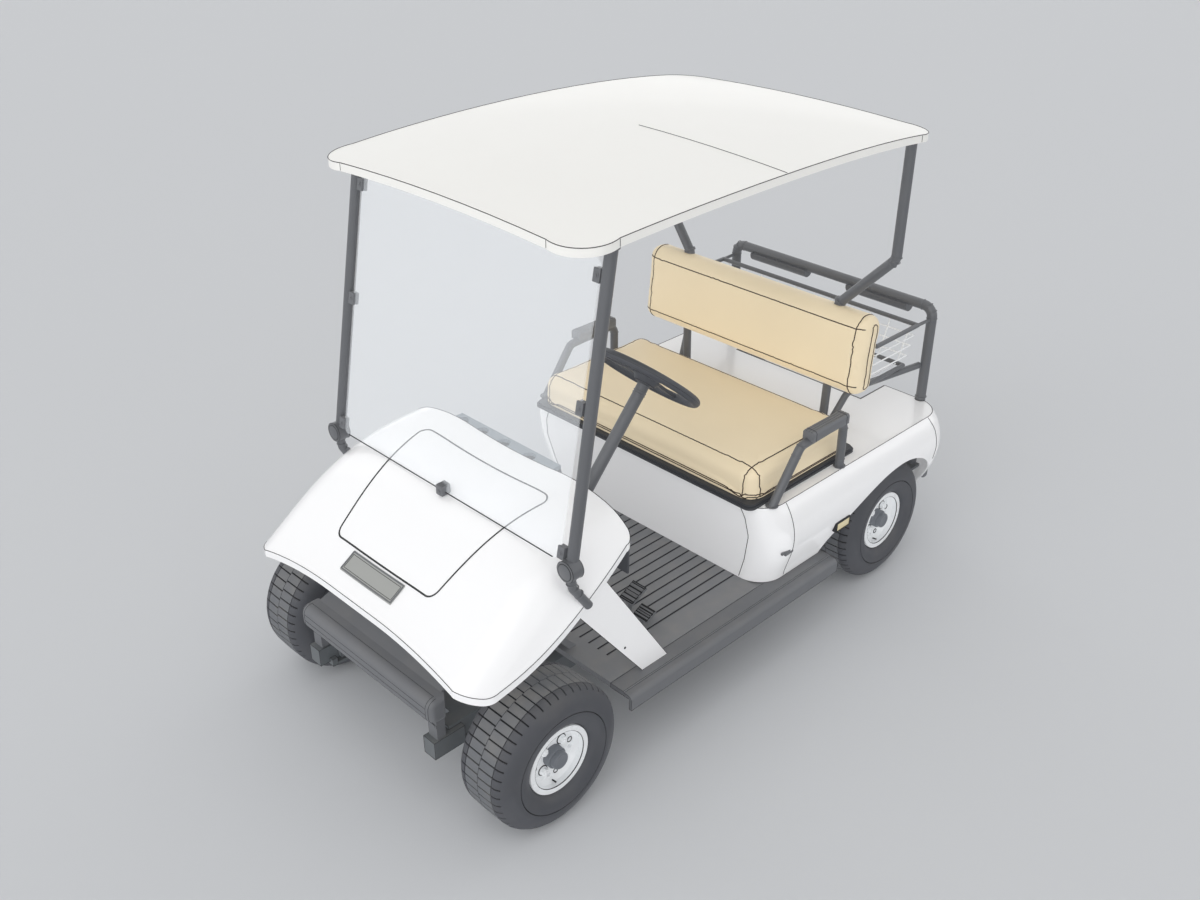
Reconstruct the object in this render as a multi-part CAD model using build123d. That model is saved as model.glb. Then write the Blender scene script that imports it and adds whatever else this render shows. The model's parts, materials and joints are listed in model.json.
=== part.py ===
from build123d import *
import math
import os

# Two-seat golf cart. Millimetres, +X forward, +Y to the driver's side, +Z up.
# Everything is laid out about the middle of the wheelbase on the ground, and is moved
# at the end so that the origin lies under the middle of the overall length.

# ---- running gear ------------------------------------------------------------------
WHEELBASE = 1676.0
FRONT_AXLE_X = WHEELBASE / 2
REAR_AXLE_X = -WHEELBASE / 2
FRONT_WHEEL_Y = 500.0
REAR_WHEEL_Y = 424.0
TYRE_R = 228.5
TYRE_W = 212.0
TYRE_SHOULDER_R = 46.0
TYRE_WIDEST_R = 156.0
RIM_SEAT_R = 98.0
RIM_FLANGE_R = 109.0
RIM_WALL = 5.0
RIM_FACE = 85.0          # wheel centre to the rim's outer edge
RIM_FLANGE_T = 8.0
DISC_FACE = 52.0         # wheel centre to the mounting disc's outer face
DISC_T = 8.0
LUG_CIRCLE_R = 51.0
LUG_COUNT = 4
LUG_NUT_R = 10.0
LUG_NUT_H = 14.0
VENT_R = 7.5
HUB_R = 33.0
HUB_DEPTH = 62.0         # hub length behind the disc
CAP_R = 34.0
CAP_H = 40.0
SPINDLE_R = 14.0
SPINDLE_GAP = 0.1        # radial running clearance on each spindle
TYRE_CROWN = 1.5         # rise of the tread's middle over its shoulders

KINGPIN_Y = 388.0
KINGPIN_R = 9.0
KINGPIN_GAP = 0.08
BARREL_R = 17.0
BARREL_H = 74.0
YOKE_T = 13.0
YOKE_GAP = 1.0
YOKE_R = 19.0
BEAM_W = 46.0
BEAM_H = 36.0
BEAM_DROP = 72.0         # axle centre down to the beam's middle
ARM_BACK = 110.0         # kingpin back to the tie rod pin
ARM_IN = 10.0            # tie rod pin inboard of the kingpin
ARM_T = 12.0
ARM_Z = 152.0
TIE_PIN_R = 6.0
TIE_EYE_R = 14.0
TIE_EYE_H = 16.0
TIE_ROD_R = 9.0
TIE_GAP = 0.1
OPEN_GAP = 2.2           # clearance at the pivot where the linkage is opened

# ---- frame and floor ---------------------------------------------------------------
RAIL_Y = 270.0
RAIL_W = 50.0
RAIL_BOTTOM = 205.0
RAIL_H = 62.0
RAIL_FRONT_X = 1000.0
RAIL_REAR_X = -1104.0
KICK_X = -590.0
KICK_RUN = 70.0
KICK_UP = 125.0
HORN_Y = 288.0
HORN_W = 50.0
HORN_X = 1066.0
HORN_LENGTH = 110.0
HORN_Z = (196.0, 256.0)
CROSS_W = 50.0
CROSS_XS = (905.0, 480.0, 60.0, -505.0)
FLOOR_TOP = 283.0
FLOOR_T = FLOOR_TOP - RAIL_BOTTOM - RAIL_H
FLOOR_Y = 497.0
FLOOR_FRONT_X = 551.0        # clear of the steered tyres
MAT_MARGIN_Y = 403.5         # the ribs end here and the flush margin begins
RIB_H = 3.0
RIB_W = 33.0
RIB_PITCH = 40.0
RIB_FRONT_X = 470.0
TOE_FOOT_X = 500.0
TOE_TOP = (690.0, 500.0)
TOE_T = 8.0
TOE_Y = 300.0
ROCKER_STEP_Y = 550.0
ROCKER_Y = 585.0
ROCKER_BOTTOM = 230.0
ROCKER_T = 10.0
ROCKER_REAR_X = -455.0
SPRING_W = 45.0
SPRING_T = 20.0
SPRING_RISE = 14.0
SPRING_FRONT_RISE = 10.0
SPRING_EYE_H = 8.0
SPRING_FRONT_X = (175.0, -215.0)
SPRING_REAR_X = (255.0, -244.0)
HANGER_T = 18.0
HANGER_GAP = 0.4

# ---- rear body ---------------------------------------------------------------------
DECK_Z = 610.0
BODY_WALL = 5.0
# Plan sections of the rear body, from the bottom up.
# columns: height, front edge x, rear edge x, half width, corner radius
BODY_SECTIONS = (
    (285.0, -130.0, -1108.0, 517.0, 96.0),
    (380.0, -112.0, -1127.0, 550.0, 104.0),
    (490.0, -93.0, -1130.0, 575.0, 110.0),
    (560.0, -82.0, -1117.0, 566.0, 104.0),
    (DECK_Z, -75.0, -1094.0, 543.0, 96.0),
)
ARCH_TOP = (-820.0, 505.0)
ARCH_FRONT = (-428.0, 280.0)
ARCH_REAR = (-1078.0, 280.0)
BAY_X = (-120.0, -585.0)
BAY_Y = 450.0
BAY_CORNER_R = 40.0
WELL_FRONT_X = -940.0
WELL_Y = 295.0
WELL_FLOOR_Z = 430.0
WELL_WALL = 5.0
BUMPER_REAR_X = -1174.0
BUMPER_REAR_T = 34.0
BUMPER_REAR_Z = (262.0, 314.0)
BUMPER_REAR_Y = 480.0
BRACKET_W = 40.0
BUMPER_GAP = 2.0
REFLECTOR = (78.0, 29.0, 4.0)
REFLECTOR_AT = (-492.0, 398.0)
BATTERY_X = (-135.0, -512.0)
BATTERY_Y = 240.0
BATTERY_H = 262.0
UNDERFLOOR_DROP = 4.0
MOTOR_R = 80.0
MOTOR_LENGTH = 230.0
MOTOR_Y = 60.0
CASE_R = 96.0
CASE_REACH = 84.0        # the gear case is cut flat this far from the axle
CASE_HALF_W = 62.0
AXLE_TUBE_R = 32.0

# ---- seat --------------------------------------------------------------------------
BOARD_X = (-57.0, -616.0)
BOARD_Y = 504.0
BOARD_T = 15.0
BOARD_STEP = 5.0
BOARD_CORNER_R = 26.0
SEAT_X = (-70.0, -604.0)
SEAT_Y = 498.0
SEAT_TOP = 735.0
SEAT_EDGE_R = 42.0
SEAT_CORNER_R = 60.0
BACK_CENTRE = (-664.0, 935.0)
BACK_T = 112.0
BACK_H = 300.0
BACK_Y = 500.0
BACK_LEAN = 5.0
BACK_EDGE_R = 45.0
SOFT_GAP = 0.3

# ---- tubes: rack, armrests, struts -------------------------------------------------
STRUT_R = 17.0
STRUT_FOOT = (739.0, 533.0, 775.0)
STRUT_TOP = (571.0, 520.0, 1690.0)
DISC_R = 31.0
DISC_L = 42.0
DISC_Z = 804.0
ELBOW_R = 13.0
LEG_R = 15.0
LEG_Y = 318.0
LEG_X = -673.0
STRUT_BEND = (-715.0, 508.0, 1270.0)
STRUT_REAR_TOP = (-735.0, 500.0, 1680.0)
BACK_TOP_X = -684.0
BACK_TOP_Z = 1075.0
BRACE_R = 12.0
BRACE_Z = 748.0
ARM_TUBE_R = 15.0
ARMREST_Y = 527.0
# Side view of one armrest tube: foot, front bend, rear bend, foot.
ARMREST_PATH = ((-130.0, DECK_Z - 10), (-262.0, 777.0), (-489.0, 785.0), (-489.0, DECK_Z - 10))
PAD_X = (-292.0, -480.0)
PAD_W = 44.0
PAD_OUT = 4.0            # pad's middle outboard of its tube
PAD_H = 34.0
PAD_SINK = 6.0           # how far the pad reaches down over its tube
RACK_R = 18.0
RACK_X = -1096.0
RACK_Y = 447.0
RACK_TOP = 970.0
RACK_FOOT_Z = 345.0
RACK_GAP = 1.5
RACK_SLOT = 66.0
STRAP_Y = (95.0, 355.0)
STRAP_R = 26.0
BASKET_R = 8.0
BASKET_Y = 444.0
BASKET_X = (-1012.0, -765.0)
BASKET_FLOOR_X = (-985.0, -785.0)
BASKET_Z = (775.0, 928.0)
WIRE_R = 2.5
HANGER_R = 6.0
WIRE_COLUMNS = 11
WIRE_ROWS = 3
WIRE_SPREAD = 0.94       # outer columns' place, as a share of the rings' half width
WIRE_BEND = 6.0
WIRE_GAP = 0.2
BASKET_TAPER = 22.0

# ---- front body --------------------------------------------------------------------
COWL_WALL = 6.0
COWL_LIP = 24.0
COWL_BASE = 380.0
COWL_SIDE_Y = 600.0
# Cross sections of the cowl's top, each a chain of tangent arcs from the centre out.
# columns: x, height at centre, hollow half width, hollow slope, crown half width,
#          crown slope, shoulder half width, shoulder slope
COWL_SECTIONS = (
    (440.0, 846.0, 200.0, 5.7, 400.0, 15.0, 505.0, 50.0),
    (600.0, 837.0, 190.0, 4.4, 405.0, 13.5, 513.0, 56.0),
    (740.0, 805.0, 180.0, 3.0, 410.0, 12.0, 520.0, 62.0),
    (938.0, 692.0, 150.0, 1.5, 420.0, 9.0, 525.0, 64.0),
    (1110.0, 590.0, 100.0, 0.5, 440.0, 15.0, 512.0, 45.0),
)
COWL_REAR_X = 476.0
COWL_FRONT_X = 1093.0
COWL_FRONT_DIP = 6.0
COWL_LOBE_Y = 455.0
# Plan view of the cowl's side: corner, widest place, front shoulder, lobe corner.
COWL_CORNER = (505.0, 513.0)
COWL_WIDE = (800.0, 551.0)
COWL_SHOULDER = (1000.0, 534.0)
COWL_NOSE = (1062.0, 506.0)
HATCH_REAR = (579.0, 292.0)
HATCH_FRONT = (976.0, 226.0)
HATCH_CORNER_R = 30.0
HATCH_T = 3.0
HATCH_GAP = 1.6
HATCH_BED = 3.3
PLATE_X = (985.0, 1040.0)
PLATE_Y = 121.0
PLATE_T = 4.0
LEG_PANEL_T = 6.0
LEG_PANEL_Y = 522.0
LEG_PANEL_TOP = ((597.0, 690.0), (702.0, 622.0))
LEG_PANEL_FOOT = ((332.0, 283.0), (441.0, 283.0))
DASH_X = 484.0
DASH_Y = 503.0
DASH_T = 6.0
DASH_DROP = 188.0
TRAY_X = 426.0
TRAY_Y = (-300.0, 161.0)
TRAY_Z = 838.0
TRAY_T = 40.0
BALL_WELL_R = 23.0
BALL_WELL_DEPTH = 34.0
BALL_WELL_IN = 33.0        # tray edge to the wells' centres
BALL_WELL_YS = (-262.0, -165.0, -62.0, 55.0)
FRONT_BUMPER_X = 1078.0
FRONT_BUMPER_W = 62.0
FRONT_BUMPER_Z = (326.0, 410.0)
FRONT_BUMPER_Y = 322.0
FRONT_BUMPER_R = 29.0
APRON_T = 6.0
APRON_REAR = (900.0, 452.0)

# ---- windshield and roof -----------------------------------------------------------
GLASS_FOOT = (742.0, 815.0)
GLASS_HEAD = (584.0, 1622.0)
GLASS_Y = 495.0
CLIP_W = 24.0
CLIP_H = 36.0
CLIP_T = 20.0
GLASS_T = 5.0
GLASS_CORNER_R = 24.0
CLIP_HEIGHTS = (0.035, 0.53, 0.95)
ROOF_WALL = 5.0
ROOF_LIP = 24.0
ROOF_BASE = 1500.0
ROOF_SECTION_Y = 575.0
# Cross sections of the roof. columns: x, height at centre, height at the section's edge
ROOF_SECTIONS = (
    (720.0, 1695.0, 1671.0),
    (380.0, 1718.0, 1695.0),
    (-55.0, 1726.0, 1703.0),
    (-480.0, 1711.0, 1689.0),
    (-870.0, 1668.0, 1646.0),
)
ROOF_FRONT_X = 703.0
ROOF_REAR_X = -838.0
ROOF_FRONT_Y = 425.0
ROOF_REAR_Y = 400.0
ROOF_SIDE_Y = 553.0
ROOF_FRONT_SHOULDER = (575.0, 546.0)
ROOF_REAR_SHOULDER = (-740.0, 530.0)
ROOF_CORNER_IN = 26.0

# ---- steering ----------------------------------------------------------------------
COLUMN_Y = 250.0
COLUMN_FOOT = (708.0, 446.0)
COLUMN_HEAD = (168.0, 1048.0)
COLUMN_R = 19.0
STEER_R = 175.0
STEER_RIM_R = 13.0
STEER_HUB_R = 30.0
STEER_HUB_H = 30.0
STEER_HUB_GAP = 0.5
SPOKE_W = 26.0
SPOKE_T = 9.0
SPOKE_ANGLES = (-30.0, 90.0, 210.0)
STEER_SHAFT_R = 9.0
# Pedal pads. columns: x, y, height, length, width, tilt in degrees
PEDALS = (
    (253.0, 301.0, 355.0, 72.0, 58.0, -27.0),
    (268.0, 366.0, 318.0, 46.0, 60.0, -27.0),
)
PEDAL_T = 8.0
PEDAL_STEM_R = 7.0
PEDAL_RIB_H = 4.0

CENTRE_SHIFT = -(COWL_FRONT_X + BUMPER_REAR_X) / 2


# ---- helpers -----------------------------------------------------------------------
def block(xs, ys, zs):
    """A box between two corners given as (low, high) pairs in any order."""
    lows = [min(pair) for pair in (xs, ys, zs)]
    sizes = [abs(pair[1] - pair[0]) for pair in (xs, ys, zs)]
    return Pos(*lows) * Box(*sizes, align=(Align.MIN,) * 3)


def rod(start, end, radius):
    """A round bar from one point to another."""
    line = Vector(*end) - Vector(*start)
    seat = Plane(origin=start, z_dir=line)
    return seat * Cylinder(radius, line.length, align=(Align.CENTER, Align.CENTER, Align.MIN))


def tube(points, radius, bend):
    """A round tube through points, with a tangent arc at each corner."""
    path = FilletPolyline(*points, radius=bend)
    section = Plane(origin=path @ 0, z_dir=path % 0) * Circle(radius)
    return sweep(section, path=path)


def disc_y(x, y, z, radius, length):
    """A cylinder along Y whose first end is at y and whose length is signed."""
    return rod((x, y, z), (x, y + length, z), radius)


def side_plate(points, y, thickness):
    """A plate drawn in side view (x, z), from y outward by thickness."""
    face = Plane.XZ * make_face(Polyline(*points, close=True))
    return Pos(0, y + thickness, 0) * extrude(face, thickness)


def mirrored(shape):
    """The same shape on the other side of the cart."""
    return mirror(shape, about=Plane.XZ)


def both(shape):
    """A shape and its mirror image, as two solids."""
    return [shape, mirrored(shape)]


def joined(shapes):
    """One solid fused from several."""
    result = shapes[0]
    for shape in shapes[1:]:
        result = result + shape
    return result


def tangent_arc_chain(height, stations):
    """Mirrored arcs of one section: stations are (half width, slope in degrees),
    the slope being positive where the surface rises outward."""
    edges = []
    y, z, slope = 0.0, height, 0.0
    for index, (y_end, slope_end) in enumerate(stations):
        a, b = math.radians(slope), math.radians(slope_end)
        radius = (y_end - y) / (math.sin(b) - math.sin(a))

        def at(angle):
            return (y + radius * (math.sin(angle) - math.sin(a)),
                    z - radius * (math.cos(angle) - math.cos(a)))

        middle, end = at((a + b) / 2), at(b)
        if index == 0:
            edges.append(ThreePointArc((-end[0], end[1]), (0, height), end))
        else:
            edges.append(ThreePointArc((y, z), middle, end))
            edges.append(ThreePointArc((-y, z), (-middle[0], middle[1]), (-end[0], end[1])))
        y, z, slope = end[0], end[1], slope_end
    return edges, (y, z)


def cowl_body():
    """Everything below the cowl's outer surface, down to a flat base."""
    faces = []
    for x, height, hollow_y, hollow, crown_y, crown, shoulder_y, shoulder in COWL_SECTIONS:
        stations = ((hollow_y, hollow), (crown_y, -crown), (shoulder_y, -shoulder))
        edges, (y, z) = tangent_arc_chain(height, stations)
        z_side = z - (COWL_SIDE_Y - y) * math.tan(math.radians(shoulder))
        for side in (1, -1):
            edges.append(Line((side * y, z), (side * COWL_SIDE_Y, z_side)))
            edges.append(Line((side * COWL_SIDE_Y, z_side), (side * COWL_SIDE_Y, COWL_BASE)))
        edges.append(Line((-COWL_SIDE_Y, COWL_BASE), (COWL_SIDE_Y, COWL_BASE)))
        plane = Plane(origin=(x, 0, 0), x_dir=(0, 1, 0), z_dir=(1, 0, 0))
        faces.append(plane * make_face(edges))
    return loft(faces)


def cowl_outline():
    """Plan outline of the cowl."""
    edges = [
        Line((COWL_REAR_X, -COWL_CORNER[1] + 30), (COWL_REAR_X, COWL_CORNER[1] - 30)),
        ThreePointArc((COWL_FRONT_X, COWL_LOBE_Y), (COWL_FRONT_X - COWL_FRONT_DIP, 0),
                      (COWL_FRONT_X, -COWL_LOBE_Y)),
    ]
    for side in (1, -1):
        def at(point):
            return (point[0], side * point[1])
        edges.append(ThreePointArc((COWL_REAR_X, side * (COWL_CORNER[1] - 30)),
                                   (COWL_REAR_X + 8, side * (COWL_CORNER[1] - 8)),
                                   at(COWL_CORNER)))
        edges.append(ThreePointArc(at(COWL_CORNER), at(COWL_WIDE), at(COWL_SHOULDER)))
        edges.append(ThreePointArc(at(COWL_SHOULDER), at(COWL_NOSE),
                                   (COWL_FRONT_X, side * COWL_LOBE_Y)))
    return make_face(edges)


def roof_body():
    """Everything below the roof's outer surface, down to a flat base."""
    faces = []
    for x, crown, edge in ROOF_SECTIONS:
        w = ROOF_SECTION_Y
        edges = [
            ThreePointArc((-w, edge), (0, crown), (w, edge)),
            Polyline((w, edge), (w, ROOF_BASE), (-w, ROOF_BASE), (-w, edge)),
        ]
        plane = Plane(origin=(x, 0, 0), x_dir=(0, 1, 0), z_dir=(1, 0, 0))
        faces.append(plane * make_face(edges))
    return loft(faces)


def roof_outline():
    """Plan outline of the roof."""
    front, rear = ROOF_FRONT_SHOULDER, ROOF_REAR_SHOULDER
    edges = [
        Line((ROOF_FRONT_X, -ROOF_FRONT_Y), (ROOF_FRONT_X, ROOF_FRONT_Y)),
        Line((ROOF_REAR_X, -ROOF_REAR_Y), (ROOF_REAR_X, ROOF_REAR_Y)),
    ]
    for side in (1, -1):
        middle = ((front[0] + rear[0]) / 2, side * ROOF_SIDE_Y)
        edges.append(ThreePointArc((front[0], side * front[1]), middle,
                                   (rear[0], side * rear[1])))
        edges.append(ThreePointArc((ROOF_FRONT_X, side * ROOF_FRONT_Y),
                                   (ROOF_FRONT_X - ROOF_CORNER_IN,
                                    side * (front[1] - ROOF_CORNER_IN)),
                                   (front[0], side * front[1])))
        edges.append(ThreePointArc((ROOF_REAR_X, side * ROOF_REAR_Y),
                                   (ROOF_REAR_X + ROOF_CORNER_IN,
                                    side * (rear[1] - ROOF_CORNER_IN)),
                                   (rear[0], side * rear[1])))
    return make_face(edges)


def prism(outline, low, high):
    """A plan outline made into a block between two heights."""
    return Pos(0, 0, low) * extrude(outline, high - low)


def skin(body, outline, wall, lip, low, high, lip_from):
    """A moulded sheet under a surface, with a lip turned down round its outline
    ahead of the station lip_from."""
    sheet = (body - Pos(0, 0, -wall) * body) & prism(outline, low, high)
    ring = prism(outline, low, high) - prism(offset(outline, -wall), low, high)
    ring = ring & block((lip_from, 2000), (-700, 700), (low, high))
    return sheet + ((body - Pos(0, 0, -lip) * body) & ring)


def rounded_plan(z, x_a, x_b, half_width, radius):
    """A rounded rectangle in plan between two x stations."""
    return Pos((x_a + x_b) / 2, 0, z) * RectangleRounded(abs(x_b - x_a), 2 * half_width, radius)


def above(body, drop, base, top):
    """The space over a surface lowered by drop: what trims a post to its seat."""
    span = body.bounding_box()
    room = block((span.min.X, span.max.X), (span.min.Y, span.max.Y), (base, top))
    return room - Pos(0, 0, -drop) * body


def save(name, shapes):
    """Move a sub-part to the shared origin and write it."""
    solids = shapes if isinstance(shapes, list) else [shapes]
    placed = [Pos(CENTRE_SHIFT, 0, 0) * solid for solid in solids]
    result = placed[0] if len(placed) == 1 else Compound(children=placed)
    export_step(result, f"parts/{name}.step")


# ---- wheels ------------------------------------------------------------------------
def tyre_solid():
    """A smooth tyre about the Y axis, outer side to +Y."""
    half, crown = TYRE_W / 2, TYRE_R - TYRE_CROWN
    bead = (RIM_FLANGE_R + 4, RIM_FACE - RIM_FLANGE_T)
    widest = (TYRE_WIDEST_R, half)
    turn = (crown - TYRE_SHOULDER_R * 0.6, half - 6)
    edge = (crown, half - TYRE_SHOULDER_R)
    edges = [
        Line((RIM_SEAT_R, -bead[1]), (RIM_SEAT_R, bead[1])),
        ThreePointArc(edge, (TYRE_R, 0), (edge[0], -edge[1])),
    ]
    for side in (1, -1):
        def at(point):
            return (point[0], side * point[1])
        edges.append(Line((RIM_SEAT_R, side * bead[1]), at(bead)))
        edges.append(TangentArc(at(widest), at(bead), tangent=(-1, 0)))
        edges.append(TangentArc(at(widest), at(turn), tangent=(1, 0)))
        edges.append(ThreePointArc(at(turn), at((crown - 9, half - 22)), at(edge)))
    return revolve(make_face(edges), Axis.Y)


def rim_solid():
    """A steel rim about the Y axis with its disc, hub, lug nuts and vent holes."""
    inner = RIM_SEAT_R - RIM_WALL
    bead = RIM_FACE - RIM_FLANGE_T + SOFT_GAP
    bore = SPINDLE_R + SPINDLE_GAP
    profile = Polyline(
        (RIM_SEAT_R - SOFT_GAP, -bead), (RIM_FLANGE_R, -bead),
        (RIM_FLANGE_R, -RIM_FACE), (inner, -RIM_FACE), (inner, DISC_FACE - DISC_T),
        (bore + 8, DISC_FACE - DISC_T), (bore + 8, DISC_FACE),
        (inner - 12, DISC_FACE), (inner, DISC_FACE + 12), (inner, RIM_FACE),
        (RIM_FLANGE_R, RIM_FACE), (RIM_FLANGE_R, bead),
        (RIM_SEAT_R - SOFT_GAP, bead), close=True)
    rim = revolve(make_face(profile), Axis.Y)
    hub = disc_y(0, DISC_FACE - DISC_T, 0, HUB_R, -HUB_DEPTH)
    rim = rim + hub + disc_y(0, DISC_FACE - DISC_T, 0, HUB_R, DISC_T)
    rim = rim - disc_y(0, DISC_FACE - DISC_T - HUB_DEPTH, 0, bore,
                       HUB_DEPTH + DISC_T)
    for index in range(LUG_COUNT):
        turn = Rot(0, 45 + 360 / LUG_COUNT * index, 0)
        rim = rim + turn * disc_y(LUG_CIRCLE_R, DISC_FACE, 0, LUG_NUT_R, LUG_NUT_H)
        vent = Rot(0, 360 / LUG_COUNT * (index + 0.88), 0)
        rim = rim - vent * disc_y(LUG_CIRCLE_R + 18, DISC_FACE - DISC_T, 0, VENT_R, DISC_T)
    return rim


def cap_solid():
    """The dust cap on the hub's outer end."""
    cap = disc_y(0, DISC_FACE + SOFT_GAP, 0, CAP_R, CAP_H)
    cap = chamfer(cap.edges().group_by(Axis.Y)[-1], 3)
    return cap


WHEELS = {
    "front_left": (FRONT_AXLE_X, FRONT_WHEEL_Y, 1),
    "front_right": (FRONT_AXLE_X, FRONT_WHEEL_Y, -1),
    "rear_left": (REAR_AXLE_X, REAR_WHEEL_Y, 1),
    "rear_right": (REAR_AXLE_X, REAR_WHEEL_Y, -1),
}


def make_wheels():
    sources = {"tyre": tyre_solid(), "rim": rim_solid(), "hub_cap": cap_solid()}
    for corner, (x, y, side) in WHEELS.items():
        for piece, solid in sources.items():
            placed = Pos(x, y, TYRE_R) * solid
            save(f"{piece}_{corner}", placed if side == 1 else mirrored(placed))


# ---- steering knuckles, tie rod and axles ------------------------------------------
SPRING_FRONT_FOOT = TYRE_R - BEAM_DROP + BEAM_H / 2 + SPRING_FRONT_RISE
SPRING_REAR_FOOT = TYRE_R - AXLE_TUBE_R - SPRING_T + SPRING_RISE
SPINDLE_END = DISC_FACE - 2      # how far each spindle reaches past the wheel centre
TIE_X = FRONT_AXLE_X - ARM_BACK
TIE_Y = KINGPIN_Y - ARM_IN
TIE_EYE_TOP = ARM_Z - 1.0


def knuckle():
    """The left knuckle: kingpin barrel, spindle, steering arm and tie rod pin."""
    x, y, z = FRONT_AXLE_X, KINGPIN_Y, TYRE_R
    barrel = Pos(x, y, z) * Cylinder(BARREL_R, BARREL_H)
    spindle = disc_y(x, y, z, SPINDLE_R, FRONT_WHEEL_Y + SPINDLE_END - y)
    arm = side_plate(((x, z - 28), (x, z - 4), (x - 55, z - 4), (TIE_X - 13, ARM_Z + 26),
                      (TIE_X - 13, ARM_Z), (TIE_X + 13, ARM_Z), (TIE_X + 40, ARM_Z + 24)),
                     TIE_Y - ARM_T / 2, ARM_T)
    web = block((x - 30, x - 8), (TIE_Y - ARM_T / 2, y), (z - 28, z - 4))
    pin = Pos(TIE_X, TIE_Y, ARM_Z) * Cylinder(TIE_PIN_R, TIE_EYE_H + 6,
                                              align=(Align.CENTER, Align.CENTER, Align.MAX))
    solid = joined([barrel, spindle, arm, web, pin])
    bore = Pos(x, y, z) * Cylinder(KINGPIN_R + KINGPIN_GAP, BARREL_H)
    return solid - bore


def tie_rod():
    """The rod between the two steering arms, with an eye at each end."""
    z = TIE_EYE_TOP - TIE_EYE_H / 2
    eye = Cylinder(TIE_EYE_R, TIE_EYE_H)
    rod_y = TIE_Y - TIE_EYE_R + 3
    solid = joined([Pos(TIE_X, TIE_Y, z) * eye, Pos(TIE_X, -TIE_Y, z) * eye,
                    rod((TIE_X, -rod_y, z), (TIE_X, rod_y, z), TIE_ROD_R)])
    for y, gap in ((TIE_Y, TIE_GAP), (-TIE_Y, OPEN_GAP)):
        solid = solid - Pos(TIE_X, y, z) * Cylinder(TIE_PIN_R + gap, TIE_EYE_H + 2)
    return solid


def front_axle():
    """The beam with a yoke and kingpin at each end."""
    x, z = FRONT_AXLE_X, TYRE_R
    beam_z = z - BEAM_DROP
    post_y = KINGPIN_Y - YOKE_R - 12
    beam = block((x - BEAM_W / 2, x + BEAM_W / 2), (-post_y, post_y),
                 (beam_z - BEAM_H / 2, beam_z + BEAM_H / 2))
    arm_low = z - BARREL_H / 2 - YOKE_GAP
    arm_high = z + BARREL_H / 2 + YOKE_GAP
    solids = [beam]
    for side in (1, -1):
        post = block((x - BEAM_W / 2, x + BEAM_W / 2), (side * (post_y - 14), side * post_y),
                     (beam_z - BEAM_H / 2, arm_high + YOKE_T))
        solids.append(post)
        for low in (arm_low - YOKE_T, arm_high):
            plate = block((x - YOKE_R, x + YOKE_R), (side * (post_y - 5), side * KINGPIN_Y),
                          (low, low + YOKE_T))
            nose = Pos(x, side * KINGPIN_Y, low + YOKE_T / 2) * Cylinder(YOKE_R, YOKE_T)
            solids += [plate, nose]
        solids.append(Pos(x, side * KINGPIN_Y, z) * Cylinder(
            KINGPIN_R, BARREL_H + 2 * YOKE_GAP + 2 * YOKE_T))
    return joined(solids)


def rear_axle():
    """The axle tube with its gear case and a shaft end in each hub."""
    x, z = REAR_AXLE_X, TYRE_R
    inner_end = REAR_WHEEL_Y + DISC_FACE - DISC_T - HUB_DEPTH - 4
    shaft_end = REAR_WHEEL_Y + SPINDLE_END
    case = Pos(x, MOTOR_Y, z) * Sphere(CASE_R)
    case = case & block((x - CASE_REACH, x + CASE_REACH), (MOTOR_Y - CASE_HALF_W, MOTOR_Y + CASE_HALF_W),
                        (z - CASE_REACH, z + CASE_REACH))
    return joined([rod((x, -inner_end, z), (x, inner_end, z), AXLE_TUBE_R),
                   rod((x, -shaft_end, z), (x, shaft_end, z), SPINDLE_R), case])


def leaf_spring(x_a, x_b, z, sag):
    """One leaf spring in side view: two arcs and the wall between them."""
    middle = (x_a + x_b) / 2
    outline = Plane.XZ * make_face([
        ThreePointArc((x_a, z), (middle, z - sag), (x_b, z)),
        Line((x_b, z), (x_b, z + SPRING_EYE_H)),
        ThreePointArc((x_b, z + SPRING_EYE_H), (middle, z - sag + SPRING_T),
                      (x_a, z + SPRING_EYE_H)),
        Line((x_a, z + SPRING_EYE_H), (x_a, z)),
    ])
    return Pos(0, RAIL_Y + SPRING_W / 2, 0) * extrude(outline, SPRING_W)


def make_running_gear():
    left = knuckle()
    save("knuckle_left", left)
    save("knuckle_right", mirrored(left))
    save("tie_rod", tie_rod())
    save("front_axle", front_axle())
    save("rear_axle", rear_axle())
    front_seat = TYRE_R - BEAM_DROP + BEAM_H / 2 + SOFT_GAP
    front = leaf_spring(FRONT_AXLE_X + SPRING_FRONT_X[0], FRONT_AXLE_X + SPRING_FRONT_X[1],
                        front_seat + SPRING_FRONT_RISE, SPRING_FRONT_RISE)
    rear_seat = TYRE_R - AXLE_TUBE_R - SPRING_T - SOFT_GAP
    rear = leaf_spring(REAR_AXLE_X + SPRING_REAR_X[0], REAR_AXLE_X + SPRING_REAR_X[1],
                       rear_seat + SPRING_RISE, SPRING_RISE)
    save("leaf_springs", both(front) + both(rear))
    motor_x = REAR_AXLE_X + CASE_REACH + SOFT_GAP
    save("drive_motor", rod((motor_x, MOTOR_Y, TYRE_R), (motor_x + MOTOR_LENGTH, MOTOR_Y, TYRE_R),
                            MOTOR_R))


# ---- frame, floor and rockers ------------------------------------------------------
def column_passage():
    """The hole that the steering column passes through."""
    return rod((COLUMN_FOOT[0], COLUMN_Y, COLUMN_FOOT[1]),
               (COLUMN_HEAD[0], COLUMN_Y, COLUMN_HEAD[1]), COLUMN_R + SOFT_GAP)


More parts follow.
